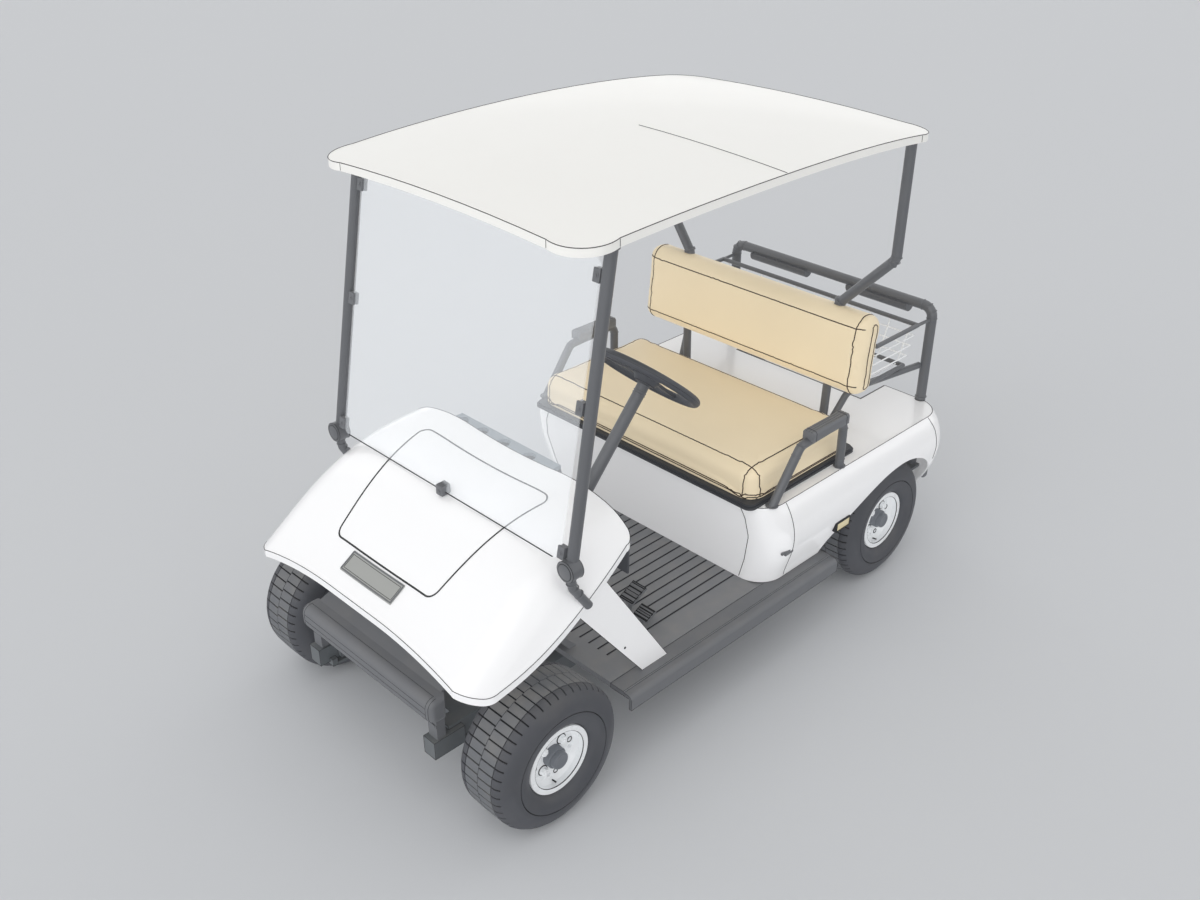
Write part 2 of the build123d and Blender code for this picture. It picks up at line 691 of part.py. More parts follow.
def frame():
    """Two kicked-up rails, cross members, horns and spring hangers."""
    low, high = RAIL_BOTTOM, RAIL_BOTTOM + RAIL_H
    kick_end = KICK_X - KICK_RUN
    outline = ((RAIL_FRONT_X, low), (RAIL_FRONT_X, high), (KICK_X, high),
               (kick_end, high + KICK_UP), (RAIL_REAR_X, high + KICK_UP),
               (RAIL_REAR_X, low + KICK_UP), (kick_end - 14, low + KICK_UP), (KICK_X - 14, low))
    rail = side_plate(outline, RAIL_Y - RAIL_W / 2, RAIL_W)
    horn = block((HORN_X - HORN_LENGTH, HORN_X), (HORN_Y - HORN_W / 2, HORN_Y + HORN_W / 2),
                 HORN_Z)
    hangers = []
    for axle_x, ends, foot in ((FRONT_AXLE_X, SPRING_FRONT_X, SPRING_FRONT_FOOT),
                               (REAR_AXLE_X, SPRING_REAR_X, SPRING_REAR_FOOT)):
        for end in ends:
            way = math.copysign(1, end)
            near = axle_x + end + way * HANGER_GAP
            kicked = near < KICK_X - KICK_RUN
            hangers.append(block((near, near + way * HANGER_T),
                                 (RAIL_Y - SPRING_W / 2, RAIL_Y + SPRING_W / 2),
                                 (foot, low + (KICK_UP if kicked else 0) + 5)))
    solids = []
    for piece in [rail, horn] + hangers:
        solids += both(piece)
    reach = RAIL_Y
    for x in CROSS_XS:
        solids.append(block((x, x + CROSS_W), (-reach, reach), (low + 6, high - 1)))
    solids.append(block((RAIL_REAR_X, RAIL_REAR_X + CROSS_W), (-RACK_Y - 30, RACK_Y + 30),
                        (low + KICK_UP + 4, RACK_FOOT_Z)))
    return joined(solids)


def floor_panel():
    """The ribbed floor mat with its toe board."""
    low = FLOOR_TOP - FLOOR_T
    rear = BODY_SECTIONS[0][1] + 0.5
    top = FLOOR_TOP + RIB_H
    slab = block((rear, FLOOR_FRONT_X), (-FLOOR_Y, FLOOR_Y), (low, top))
    sunk = block((rear - 1, RIB_FRONT_X), (-MAT_MARGIN_Y, MAT_MARGIN_Y), (FLOOR_TOP, top + 1))
    solid = slab - sunk
    under = block((ROCKER_REAR_X, rear), (-FLOOR_Y, FLOOR_Y), (low, FLOOR_TOP - UNDERFLOOR_DROP))
    solids = [solid, under]
    count = int(MAT_MARGIN_Y // RIB_PITCH)
    for index in range(-count, count):
        y = (index + 0.5) * RIB_PITCH
        solids.append(block((rear + 0.5, RIB_FRONT_X + 1), (y - RIB_W / 2, y + RIB_W / 2),
                            (FLOOR_TOP - 1, top)))
    toe = side_plate(((TOE_FOOT_X, low), (TOE_FOOT_X, FLOOR_TOP), TOE_TOP,
                      (TOE_TOP[0] + TOE_T, TOE_TOP[1] - TOE_T), (TOE_FOOT_X + 2 * TOE_T, low)),
                     -TOE_Y, 2 * TOE_Y)
    solids.append(toe)
    solid = joined(solids)
    return solid - column_passage()


def rocker():
    """The left rocker panel: a flat sill and a stepped, rounded skirt."""
    low = FLOOR_TOP - FLOOR_T
    y_in = FLOOR_Y + SOFT_GAP
    outline = make_face([
        Polyline((y_in, low), (y_in, FLOOR_TOP), (ROCKER_STEP_Y, FLOOR_TOP),
                 (ROCKER_STEP_Y + 3, FLOOR_TOP - 4), (ROCKER_Y - 18, FLOOR_TOP - 4)),
        ThreePointArc((ROCKER_Y - 18, FLOOR_TOP - 4), (ROCKER_Y - 5, FLOOR_TOP - 9),
                      (ROCKER_Y, FLOOR_TOP - 22)),
        Polyline((ROCKER_Y, FLOOR_TOP - 22), (ROCKER_Y, ROCKER_BOTTOM),
                 (ROCKER_Y - ROCKER_T, ROCKER_BOTTOM), (ROCKER_Y - ROCKER_T, low), (y_in, low)),
    ])
    plane = Plane(origin=(ROCKER_REAR_X, 0, 0), x_dir=(0, 1, 0), z_dir=(1, 0, 0))
    return extrude(plane * outline, FLOOR_FRONT_X - ROCKER_REAR_X)


# ---- rear body ---------------------------------------------------------------------
def body_block(inset):
    """The rear body's outer form, or its hollow when inset by the wall."""
    faces = []
    for index, (z, x_front, x_rear, half, radius) in enumerate(BODY_SECTIONS):
        height = z
        if inset and index == 0:
            height = z - 1
        if inset and index == len(BODY_SECTIONS) - 1:
            height = z - inset
        faces.append(rounded_plan(height, x_front - inset, x_rear + inset, half - inset,
                                  radius - inset))
    return loft(faces)


def wheel_arch():
    """The opening cut through the body's sides over the rear wheels."""
    outline = Plane.XZ * make_face([
        TangentArc(ARCH_TOP, ARCH_FRONT, tangent=(1, 0)),
        TangentArc(ARCH_TOP, ARCH_REAR, tangent=(-1, 0)),
        Line(ARCH_FRONT, ARCH_REAR),
    ])
    reach = 700.0
    return Pos(0, reach, 0) * extrude(outline, 2 * reach)


def bumper_arm(side, extra):
    """The bracket that carries the rear bumper from one rail's end."""
    y, half = side * RAIL_Y, BRACKET_W / 2 + extra
    return block((BUMPER_REAR_X + BUMPER_REAR_T - 2, RAIL_REAR_X - SOFT_GAP), (y - half, y + half),
                 (BUMPER_REAR_Z[0] + 8 - extra, RAIL_BOTTOM + KICK_UP + 50 + extra))


def rear_window(extra):
    """The space under the bag well that the rear apron closes."""
    top = WELL_FLOOR_Z - WELL_WALL - SOFT_GAP if extra else WELL_FLOOR_Z + 1
    rear = BODY_SECTIONS[0][2]
    return block((rear + 40, rear - 60), (extra - WELL_Y, WELL_Y - extra),
                 (BODY_SECTIONS[0][0] - 20, top))


def rear_apron():
    """The panel across the back below the bag well."""
    panel = (body_block(0) - body_block(BODY_WALL)) & rear_window(SOFT_GAP)
    for side in (1, -1):
        panel = panel - bumper_arm(side, BUMPER_GAP)
    return panel


def body_shell():
    shell = body_block(0) - body_block(BODY_WALL)
    span = BODY_SECTIONS[0]
    shell = shell - wheel_arch()
    shell = shell - prism(rounded_plan(0, BAY_X[0], BAY_X[1], BAY_Y, BAY_CORNER_R),
                          DECK_Z - 20, DECK_Z + 20)
    shell = shell - block((WELL_FRONT_X, span[2] - 60), (-WELL_Y, WELL_Y),
                          (WELL_FLOOR_Z, DECK_Z + 20))
    shell = shell - rear_window(0)
    for side in (1, -1):
        shell = shell - rod((RACK_X, side * RACK_Y, RACK_FOOT_Z),
                            (RACK_X, side * RACK_Y, DECK_Z + 40), RACK_R + RACK_GAP)
        slot = RACK_R + RACK_GAP
        shell = shell - block((RACK_X, RACK_X - 60),
                              (side * RACK_Y - slot, side * RACK_Y + slot),
                              (DECK_Z - RACK_SLOT, DECK_Z + 40))
        shell = shell - bumper_arm(side, BUMPER_GAP)
    return shell


def bag_well():
    """The open tray behind the seat that bags stand in."""
    rear = BODY_SECTIONS[1][2] + BODY_WALL + 1
    y, wall = WELL_Y - SOFT_GAP, WELL_WALL
    outer = block((WELL_FRONT_X - SOFT_GAP, rear), (-y, y), (WELL_FLOOR_Z - wall, DECK_Z))
    inner = block((WELL_FRONT_X - SOFT_GAP - wall, rear - 10), (wall - y, y - wall),
                  (WELL_FLOOR_Z, DECK_Z + 1))
    tray = outer - inner
    return tray & (body_block(0) + block((WELL_FRONT_X, rear), (-y, y), (400, 440)))


def make_rear_body():
    save("body_shell", body_shell())
    save("rear_apron", rear_apron())
    save("bag_well", bag_well())
    low = FLOOR_TOP - UNDERFLOOR_DROP + SOFT_GAP
    save("battery_pack", block(BATTERY_X, (-BATTERY_Y, BATTERY_Y), (low, low + BATTERY_H)))
    bar = block((BUMPER_REAR_X, BUMPER_REAR_X + BUMPER_REAR_T),
                (-BUMPER_REAR_Y, BUMPER_REAR_Y), BUMPER_REAR_Z)
    bar = fillet(bar.edges().filter_by(Axis.Y), 14)
    bar = fillet(bar.edges().group_by(Axis.Y)[0] + bar.edges().group_by(Axis.Y)[-1], 9)
    save("rear_bumper", joined([bar, bumper_arm(1, 0), bumper_arm(-1, 0)]))
    x, z = REFLECTOR_AT
    lens = block((x - REFLECTOR[0] / 2, x + REFLECTOR[0] / 2), (500, 600),
                 (z - REFLECTOR[1] / 2, z + REFLECTOR[1] / 2))
    grown = loft([rounded_plan(s[0], s[1] + REFLECTOR[2], s[2] - REFLECTOR[2],
                               s[3] + REFLECTOR[2], s[4] + REFLECTOR[2])
                  for s in BODY_SECTIONS])
    seat = loft([rounded_plan(s[0], s[1] + SOFT_GAP, s[2] - SOFT_GAP,
                              s[3] + SOFT_GAP, s[4] + SOFT_GAP) for s in BODY_SECTIONS])
    save("reflectors", both((lens & grown) - seat))


# ---- seat --------------------------------------------------------------------------
BOARD_BOTTOM = DECK_Z + SOFT_GAP
BOARD_TOP = BOARD_BOTTOM + BOARD_T


def make_seat():
    board = prism(rounded_plan(0, BOARD_X[0], BOARD_X[1], BOARD_Y, BOARD_CORNER_R),
                  BOARD_BOTTOM, BOARD_BOTTOM + BOARD_T / 2)
    board = board + prism(rounded_plan(0, BOARD_X[0] - BOARD_STEP, BOARD_X[1] + BOARD_STEP,
                                       BOARD_Y - BOARD_STEP, BOARD_CORNER_R),
                          BOARD_BOTTOM, BOARD_TOP)
    save("seat_board", board)
    cushion = prism(rounded_plan(0, SEAT_X[0], SEAT_X[1], SEAT_Y, SEAT_CORNER_R),
                    BOARD_TOP + SOFT_GAP, SEAT_TOP)
    cushion = fillet(cushion.edges().group_by(Axis.Z)[-1], SEAT_EDGE_R)
    save("seat_cushion", cushion)
    back = Box(BACK_T, 2 * BACK_Y, BACK_H)
    back = fillet(back.edges(), BACK_EDGE_R)
    back = Pos(BACK_CENTRE[0], 0, BACK_CENTRE[1]) * Rot(0, -BACK_LEAN, 0) * back
    for side in (1, -1):
        back = back - seat_upright(side, SOFT_GAP)
        back = back - rear_strut(side, SOFT_GAP)
    save("backrest", back)


def seat_upright(side, extra):
    """The post that carries the backrest."""
    post = rod((LEG_X, side * LEG_Y, DECK_Z - 10), (BACK_TOP_X + 8, side * (LEG_Y + 10), 930),
               LEG_R + extra)
    return post - under_deck()


def rear_strut(side, extra):
    """The roof strut that rises from inside the backrest."""
    points = [(BACK_TOP_X + 6, side * (LEG_Y + 10), 934), (BACK_TOP_X, side * (LEG_Y + 12),
              BACK_TOP_Z), (STRUT_BEND[0], side * STRUT_BEND[1], STRUT_BEND[2]),
              (STRUT_REAR_TOP[0], side * STRUT_REAR_TOP[1], STRUT_REAR_TOP[2])]
    return tube(points, STRUT_R + extra, 40)


def under_deck():
    """The space below the deck's surface, which trims what stands on it."""
    return block((-1200, 0), (-600, 600), (DECK_Z - 100, DECK_Z + SOFT_GAP))


def strut_disc(side, extra):
    """The round clamp at the foot of a front strut."""
    y, reach = side * STRUT_FOOT[1], DISC_L / 2 + extra
    return rod((STRUT_FOOT[0] - reach, y, DISC_Z), (STRUT_FOOT[0] + reach, y, DISC_Z),
               DISC_R + extra)


def make_tubes(roof_room, cowl_room):
    save("rear_struts", [rear_strut(side, 0) - roof_room for side in (1, -1)])
    frames = []
    for side in (1, -1):
        brace = tube([(-650, side * 340, DECK_Z - 20), (-735, side * 372, BRACE_Z),
                      (RACK_X + RACK_R + SOFT_GAP, side * 432, BRACE_Z)], BRACE_R, 50)
        frames += [seat_upright(side, 0), brace - under_deck()]
    save("backrest_frame", frames)
    rails, pads = [], []
    for side in (1, -1):
        points = [(x, side * ARMREST_Y, z) for x, z in ARMREST_PATH]
        rails.append(tube(points, ARM_TUBE_R, 34) - under_deck())
        low = ARMREST_PATH[1][1] + ARM_TUBE_R
        middle = ARMREST_Y + PAD_OUT
        pad = block(PAD_X, (side * (middle - PAD_W / 2), side * (middle + PAD_W / 2)),
                    (low - PAD_SINK, low + PAD_H - PAD_SINK))
        pad = fillet(pad.edges().group_by(Axis.Z)[-1], 7)
        pads.append(pad - tube(points, ARM_TUBE_R + SOFT_GAP, 34))
    save("armrest_rails", rails)
    save("armrest_pads", pads)
    struts, elbows = [], []
    for side in (1, -1):
        foot = (STRUT_FOOT[0], side * STRUT_FOOT[1], STRUT_FOOT[2])
        top = (STRUT_TOP[0], side * STRUT_TOP[1], STRUT_TOP[2])
        post = rod(foot, top, STRUT_R)
        elbow = tube([(foot[0], foot[1], DISC_Z - 10), (foot[0] - 4, foot[1] + side * 2, 742),
                      (688, side * 549, 668)], ELBOW_R, 22)
        struts.append(joined([post, strut_disc(side, 0), elbow]) - roof_room - cowl_room)
    save("front_struts", struts)


# ---- bag rack and basket -----------------------------------------------------------
def bag_rack():
    """The hoop that bags lean on, with two strap holders under its bar."""
    y, top = RACK_Y, RACK_TOP
    hoop = tube([(RACK_X, -y, RACK_FOOT_Z + SOFT_GAP), (RACK_X, -y, top), (RACK_X, y, top),
                 (RACK_X, y, RACK_FOOT_Z + SOFT_GAP)], RACK_R, 38)
    solids = [hoop]
    for side in (1, -1):
        ends = [side * STRAP_Y[0], side * STRAP_Y[1]]
        shoe = rod((RACK_X + 4, ends[0], top - 14), (RACK_X + 4, ends[1], top - 14), STRAP_R)
        shoe = shoe & block((RACK_X - 40, RACK_X + 40), (ends[0], ends[1]), (top - 45, top - 8))
        solids.append(shoe)
    return joined(solids)


BASKET_LOOPS = (
    # columns: (rear x, front x), half width, height
    (BASKET_FLOOR_X, BASKET_Y - BASKET_TAPER, BASKET_Z[0]),
    (BASKET_X, BASKET_Y, BASKET_Z[1]),
)


def loop(xs, y, z, radius):
    """A rectangle of round bars in plan, with round corners."""
    corners = [(xs[0], -y, z), (xs[0], y, z), (xs[1], y, z), (xs[1], -y, z)]
    solids = []
    for index in range(4):
        solids.append(rod(corners[index], corners[(index + 1) % 4], radius))
        solids.append(Pos(*corners[index]) * Sphere(radius))
    return solids


def basket_frame():
    """The lower ring, and the rim with the hangers that carry it from the rack."""
    (low_xs, low_y, low_z), (xs, y, z) = BASKET_LOOPS
    hangers = [rod((xs[0], side * y, z), (RACK_X + RACK_R + SOFT_GAP, side * RACK_Y, z), HANGER_R)
               for side in (1, -1)]
    return [joined(loop(low_xs, low_y, low_z, BASKET_R)),
            joined(loop(xs, y, z, BASKET_R) + hangers)]


def basket_wires():
    """The grid of wires between the rings."""
    (low_x, low_y, low_z), (top_x, top_y, top_z) = BASKET_LOOPS
    solids = []
    for index in range(WIRE_COLUMNS):
        share = (2 * index / (WIRE_COLUMNS - 1) - 1) * WIRE_SPREAD
        solids.append(tube([(top_x[0], share * top_y, top_z), (low_x[0], share * low_y, low_z),
                            (low_x[1], share * low_y, low_z), (top_x[1], share * top_y, top_z)],
                           WIRE_R, WIRE_BEND))
    for index in range(WIRE_ROWS):
        share = (index + 1) / (WIRE_ROWS + 1)
        xs = [low + share * (top - low) for low, top in zip(low_x, top_x)]
        solids += loop(xs, low_y + share * (top_y - low_y), low_z + share * (top_z - low_z), WIRE_R)
    grid = joined(solids)
    for xs, y, z in BASKET_LOOPS:
        grid = grid - joined(loop(xs, y, z, BASKET_R + WIRE_GAP))
    return grid


# ---- front body --------------------------------------------------------------------
def hatch_outline(grow):
    corners = [(HATCH_REAR[0], HATCH_REAR[1]), (HATCH_FRONT[0], HATCH_FRONT[1]),
               (HATCH_FRONT[0], -HATCH_FRONT[1]), (HATCH_REAR[0], -HATCH_REAR[1])]
    face = make_face(Polyline(*corners, close=True))
    face = fillet(face.vertices(), HATCH_CORNER_R)
    return offset(face, grow) if grow else face


def make_cowl(body):
    low, high = COWL_BASE - 1, 900.0
    sheet = skin(body, cowl_outline(), COWL_WALL, COWL_LIP, low, high,
                 COWL_REAR_X + COWL_WALL)
    bed = prism(hatch_outline(HATCH_GAP), low, high) - Pos(0, 0, -HATCH_BED) * body
    save("cowl", sheet - bed)
    hatch = (body - Pos(0, 0, -HATCH_T) * body) & prism(hatch_outline(0), low, high)
    save("cowl_hatch", hatch)
    plate = block(PLATE_X, (-PLATE_Y, PLATE_Y), (low, high))
    raised = (Pos(0, 0, PLATE_T) * body) - Pos(0, 0, SOFT_GAP) * body
    save("nameplate", raised & plate)
    outline = (LEG_PANEL_FOOT[0], LEG_PANEL_FOOT[1], LEG_PANEL_TOP[1], LEG_PANEL_TOP[0])
    panel = side_plate(outline, LEG_PANEL_Y - LEG_PANEL_T, LEG_PANEL_T)
    panel = Pos(0, 0, SOFT_GAP) * panel
    panel = panel - above(body, COWL_WALL + SOFT_GAP, COWL_BASE, 900) - lip_room(body)
    save("cowl_legs", both(panel))


def lip_room(body):
    """The space that the cowl's lip fills beside its rear corners."""
    inside = prism(offset(cowl_outline(), -COWL_WALL - SOFT_GAP), COWL_BASE, 900)
    middle = block((0, 1000), (30 - COWL_CORNER[1], COWL_CORNER[1] - 30), (COWL_BASE, 900))
    return above(body, COWL_LIP + SOFT_GAP, COWL_BASE, 900) - inside - middle


def make_dash(body):
    low = TRAY_Z - DASH_DROP
    wall = block((DASH_X, DASH_X + DASH_T), (-DASH_Y, DASH_Y), (low, 880))
    roof = above(body, COWL_WALL + SOFT_GAP, COWL_BASE, 900)
    wall = wall - roof - lip_room(body)
    tray = block((TRAY_X, DASH_X), TRAY_Y, (TRAY_Z - TRAY_T, TRAY_Z))
    tray = tray + block((TRAY_X, DASH_X + 2), TRAY_Y, (TRAY_Z - TRAY_T - 3, TRAY_Z - TRAY_T))
    wall = wall + tray
    middle = TRAY_X + BALL_WELL_IN
    for y in BALL_WELL_YS:
        wall = wall - Pos(middle, y, TRAY_Z) * Cylinder(
            BALL_WELL_R, BALL_WELL_DEPTH, align=(Align.CENTER, Align.CENTER, Align.MAX))
    save("dash_panel", wall - column_passage())


def make_front_bumper(body):
    x, w = FRONT_BUMPER_X, FRONT_BUMPER_W
    bar = block((x - w, x), (-FRONT_BUMPER_Y, FRONT_BUMPER_Y), FRONT_BUMPER_Z)
    front = bar.edges().filter_by(Axis.Y).group_by(Axis.X)[-1]
    bar = fillet(front, FRONT_BUMPER_R)
    ends = bar.edges().group_by(Axis.Y)[0] + bar.edges().group_by(Axis.Y)[-1]
    bar = fillet(ends, 20)
    top = FRONT_BUMPER_Z[1]
    apron = side_plate(((x - w + 4, top - APRON_T - 4), (x - w + 4, top), APRON_REAR,
                        (APRON_REAR[0], APRON_REAR[1] - APRON_T)),
                       -FRONT_BUMPER_Y + 24, 2 * FRONT_BUMPER_Y - 48)
    brackets = []
    for side in (1, -1):
        brackets.append(block((x - w + 4, x - w + 34),
                              (side * (HORN_Y - 20), side * (HORN_Y + 20)),
                              (HORN_Z[1] + SOFT_GAP, FRONT_BUMPER_Z[0] + 6)))
    save("front_bumper", joined([bar, apron] + brackets))


# ---- windshield and roof -----------------------------------------------------------
GLASS_RUN = Vector(GLASS_HEAD[0] - GLASS_FOOT[0], 0, GLASS_HEAD[1] - GLASS_FOOT[1])


def glass_plane(share):
    """A plane on the windshield at a share of its height: local Y runs up the glass."""
    origin = Vector(GLASS_FOOT[0], 0, GLASS_FOOT[1]) + GLASS_RUN * share
    return Plane(origin=origin, x_dir=(0, 1, 0), z_dir=Vector(0, 1, 0).cross(GLASS_RUN))


def make_windshield():
    sheet = RectangleRounded(2 * GLASS_Y, GLASS_RUN.length, GLASS_CORNER_R)
    glass = extrude(sheet, GLASS_T / 2, both=True)
    save("windshield", glass_plane(0.5) * glass)
    clips = []
    for share in CLIP_HEIGHTS:
        for side in (1, -1):
            plane = glass_plane(share)
            climb = (plane.origin.Z - STRUT_FOOT[2]) / (STRUT_TOP[2] - STRUT_FOOT[2])
            tube_y = STRUT_FOOT[1] + climb * (STRUT_TOP[1] - STRUT_FOOT[1])
            outer = tube_y - STRUT_R - SOFT_GAP
            jaw = Pos(outer - CLIP_W / 2, 0, 0) * Box(CLIP_W, CLIP_H, CLIP_T)
            jaw = jaw - Pos(GLASS_Y / 2, 0, 0) * Box(GLASS_Y + 2 * SOFT_GAP, CLIP_H,
                                                     GLASS_T + 2 * SOFT_GAP)
            jaw = plane * jaw - rod(STRUT_FOOT, STRUT_TOP, STRUT_R + SOFT_GAP)
            jaw = jaw - strut_disc(1, SOFT_GAP)
            clips.append(jaw if side == 1 else mirrored(jaw))
    save("windshield_clips", clips)


def make_all():
    os.makedirs("parts", exist_ok=True)
    cowl = cowl_body()
    roof = roof_body()
    hollow = prism(offset(roof_outline(), -ROOF_WALL - SOFT_GAP), ROOF_BASE, 1800)
    roof_room = above(roof, ROOF_WALL + SOFT_GAP, ROOF_BASE, 1800)
    roof_room = roof_room + (above(roof, ROOF_LIP + SOFT_GAP, ROOF_BASE, 1800) - hollow)
    save("roof", skin(roof, roof_outline(), ROOF_WALL, ROOF_LIP, ROOF_BASE - 1, 1800,
                      ROOF_REAR_X - 1))
    make_wheels()
    make_running_gear()
    save("frame", frame())
    save("floor_panel", floor_panel())
    save("rocker_panels", both(rocker()))
    make_rear_body()
    make_seat()
    cowl_room = (Pos(0, 0, SOFT_GAP) * cowl) & prism(offset(cowl_outline(), SOFT_GAP),
                                                     COWL_BASE, 900)
    make_tubes(roof_room, cowl_room)
    save("bag_rack", bag_rack())
    save("basket_frame", basket_frame())
    save("basket_wires", basket_wires())
    make_cowl(cowl)
    make_dash(cowl)
    make_front_bumper(cowl)
    make_windshield()
    make_steering()


# ---- steering column, wheel and pedals ---------------------------------------------
def make_steering():
    foot = (COLUMN_FOOT[0], COLUMN_Y, COLUMN_FOOT[1])
    head = (COLUMN_HEAD[0], COLUMN_Y, COLUMN_HEAD[1])
    axis = (Vector(*head) - Vector(*foot)).normalized()
    column = rod(foot, head, COLUMN_R)
    shaft_end = Vector(*head) + axis * (STEER_HUB_H * 0.6)
    column = column + rod(head, tuple(shaft_end), STEER_SHAFT_R)
    gear = Plane(origin=foot, z_dir=axis) * Box(70, 90, 60)
    save("steering_column", column + gear)
    seat = Plane(origin=Vector(*head) + axis * STEER_HUB_GAP, x_dir=(0, 1, 0), z_dir=axis)
    hub = Cylinder(STEER_HUB_R, STEER_HUB_H, align=(Align.CENTER, Align.CENTER, Align.MIN))
    wheel = hub + Pos(0, 0, STEER_HUB_H * 0.7) * Torus(STEER_R - STEER_RIM_R, STEER_RIM_R)
    for angle in SPOKE_ANGLES:
        spoke = Pos((STEER_R - STEER_RIM_R) / 2, 0, STEER_HUB_H * 0.7) * Box(
            STEER_R - STEER_RIM_R, SPOKE_W, SPOKE_T)
        wheel = wheel + Rot(0, 0, angle) * spoke
    wheel = wheel - Cylinder(STEER_SHAFT_R + 0.1, STEER_HUB_H * 0.7,
                             align=(Align.CENTER, Align.CENTER, Align.MIN))
    save("steering_wheel", seat * wheel)
    pads = []
    for x, y, z, length, width, tilt in PEDALS:
        pad = Box(length, width, PEDAL_T)
        for step in (-1, 0, 1):
            pad = pad + Pos(step * length / 3.4, 0, PEDAL_T / 2) * Box(
                length / 8, width, PEDAL_RIB_H)
        pad = Pos(x, y, z) * Rot(0, -tilt, 0) * pad
        stem = rod((x + 26, y, FLOOR_TOP - 10), (x, y, z), PEDAL_STEM_R)
        floor = block((x - 100, x + 100), (y - 60, y + 60),
                      (FLOOR_TOP - 20, FLOOR_TOP + RIB_H + SOFT_GAP))
        pads.append(pad + stem - floor)
    save("pedals", pads)


make_all()
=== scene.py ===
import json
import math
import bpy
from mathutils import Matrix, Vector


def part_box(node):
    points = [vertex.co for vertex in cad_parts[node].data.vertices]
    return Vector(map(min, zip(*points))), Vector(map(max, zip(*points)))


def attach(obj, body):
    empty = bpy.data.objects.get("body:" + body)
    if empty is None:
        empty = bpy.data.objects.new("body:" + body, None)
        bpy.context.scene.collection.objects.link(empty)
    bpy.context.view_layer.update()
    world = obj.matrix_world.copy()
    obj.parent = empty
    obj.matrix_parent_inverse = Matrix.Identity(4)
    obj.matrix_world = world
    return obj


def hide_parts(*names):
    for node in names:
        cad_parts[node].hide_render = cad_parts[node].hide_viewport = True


bl_info = {
    "name": "Golf cart dressing",
    "version": (1, 0, 0),
    "blender": (4, 5, 0),
    "location": "3D View > Sidebar > Cart",
    "description": "Builds the visible surfaces of a two-seat golf cart around its frame",
    "category": "Object",
}

import bmesh
import bpy
from mathutils import Vector, kdtree

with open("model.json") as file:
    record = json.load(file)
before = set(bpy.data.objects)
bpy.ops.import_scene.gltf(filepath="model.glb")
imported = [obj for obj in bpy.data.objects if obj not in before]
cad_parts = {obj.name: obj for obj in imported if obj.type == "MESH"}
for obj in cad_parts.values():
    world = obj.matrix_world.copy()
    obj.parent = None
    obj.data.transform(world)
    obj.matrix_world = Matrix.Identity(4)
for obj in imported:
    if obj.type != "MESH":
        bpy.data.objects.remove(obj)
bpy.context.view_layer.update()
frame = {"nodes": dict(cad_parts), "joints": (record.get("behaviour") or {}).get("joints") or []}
NODES = frame["nodes"]

MM = 0.001
CORNERS = ("front_left", "front_right", "rear_left", "rear_right")
SIDES = {"left": 1, "right": -1}


# ---- places and sizes read from the frame -------------------------------------------
def middle(node):
    """The middle of a node's box."""
    low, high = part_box(node)
    return (low + high) / 2


# Middle of the wheelbase: every place below is given from here, on the ground.
SHIFT = (middle("tyre_front_left").x + middle("tyre_rear_left").x) / 2


def at(x, y, z):
    """A place in metres, from millimetres forward, to the driver's side and up."""
    return Vector((SHIFT + x * MM, y * MM, z * MM))


def up(height):
    """A way straight up, in millimetres."""
    return Vector((0, 0, height * MM))


def linear(red, green, blue):
    """A display colour, each part 0 to 255, as the values that a shader takes."""
    shares = (part / 255 for part in (red, green, blue))
    return tuple(s / 12.92 if s <= 0.04045 else ((s + 0.055) / 1.055) ** 2.4 for s in shares)


# ---- settings that a user would change ----------------------------------------------
def colour(name, description, red, green, blue):
    """A colour setting."""
    return bpy.props.FloatVectorProperty(name=name, description=description, subtype="COLOR",
                                         size=3, min=0, max=1, default=linear(red, green, blue))


def length(name, description, millimetres):
    """A length setting in metres."""
    return bpy.props.FloatProperty(name=name, description=description, unit="LENGTH",
                                   subtype="DISTANCE", precision=4, default=millimetres * MM)


def share(name, description, value):
    """A setting from 0 to 1."""
    return bpy.props.FloatProperty(name=name, description=description, min=0, max=1,
                                   subtype="FACTOR", default=value)


class CartPaint(bpy.types.PropertyGroup):
    body: colour("Body", "Gloss white of the moulded body panels", 247, 247, 248)
    roof: colour("Roof", "Warm white of the roof panel", 240, 239, 235)
    trim: colour("Dark trim", "Moulded charcoal plastic", 104, 106, 110)
    tube: colour("Tubes", "Charcoal powder coat on the tubes", 90, 92, 96)
    chassis: colour("Chassis", "Satin grey paint on the frame and axles", 94, 99, 103)
    mat: colour("Floor mat", "Rubber of the ribbed floor mat", 122, 124, 128)
    # Painted shade: the dark grey of the floor mat's grooves stands in for the shade that falls in
    # them.
    groove: colour("Mat grooves", "Painted-shade grooves between the mat's ribs", 44, 46, 50)
    dash: colour("Dash", "Blue-grey plastic of the dash tray", 122, 133, 141)
    grip: colour("Grip", "Soft black plastic of the steering wheel", 66, 68, 73)
    vinyl: colour("Seat vinyl", "Tan vinyl of the cushions", 240, 223, 190)
    thread: colour("Seams", "Brown piping on the cushions", 52, 36, 24)
    board: colour("Seat board", "Black board under the cushion", 58, 60, 65)
    # Painted shade: besides real dark frames, this near-black colours the thin beads that stand for
    # the shade along the panels' creases, edges and gaps.
    gap: colour("Panel gaps", "Dark gaps between body panels", 24, 25, 28)
    tyre: colour("Tyre", "Rubber of the tyres", 70, 72, 78)
    # The tread blocks are a lighter grey than the tyre's sidewall.
    tread: colour("Tread", "Lighter rubber of the tread blocks", 100, 103, 108)
    rim: colour("Rims", "White enamel of the steel rims", 238, 240, 242)
    cap: colour("Hub caps", "Dark plastic of the hub caps", 106, 110, 116)
    glass: colour("Windshield", "Pale grey tint of the windshield", 238, 242, 246)
    lens: colour("Reflectors", "Pale amber of the reflector lenses", 226, 212, 168)
    plate: colour("Name plate", "Bare warm grey of the blank plate", 158, 159, 156)
    battery: colour("Batteries", "Dark case of the batteries", 60, 62, 66)
    steel: colour("Fasteners", "Zinc plate of nuts and bolts", 150, 154, 160)
    glass_cover: share("Windshield cover", "How much the tinted sheet hides", 0.15)


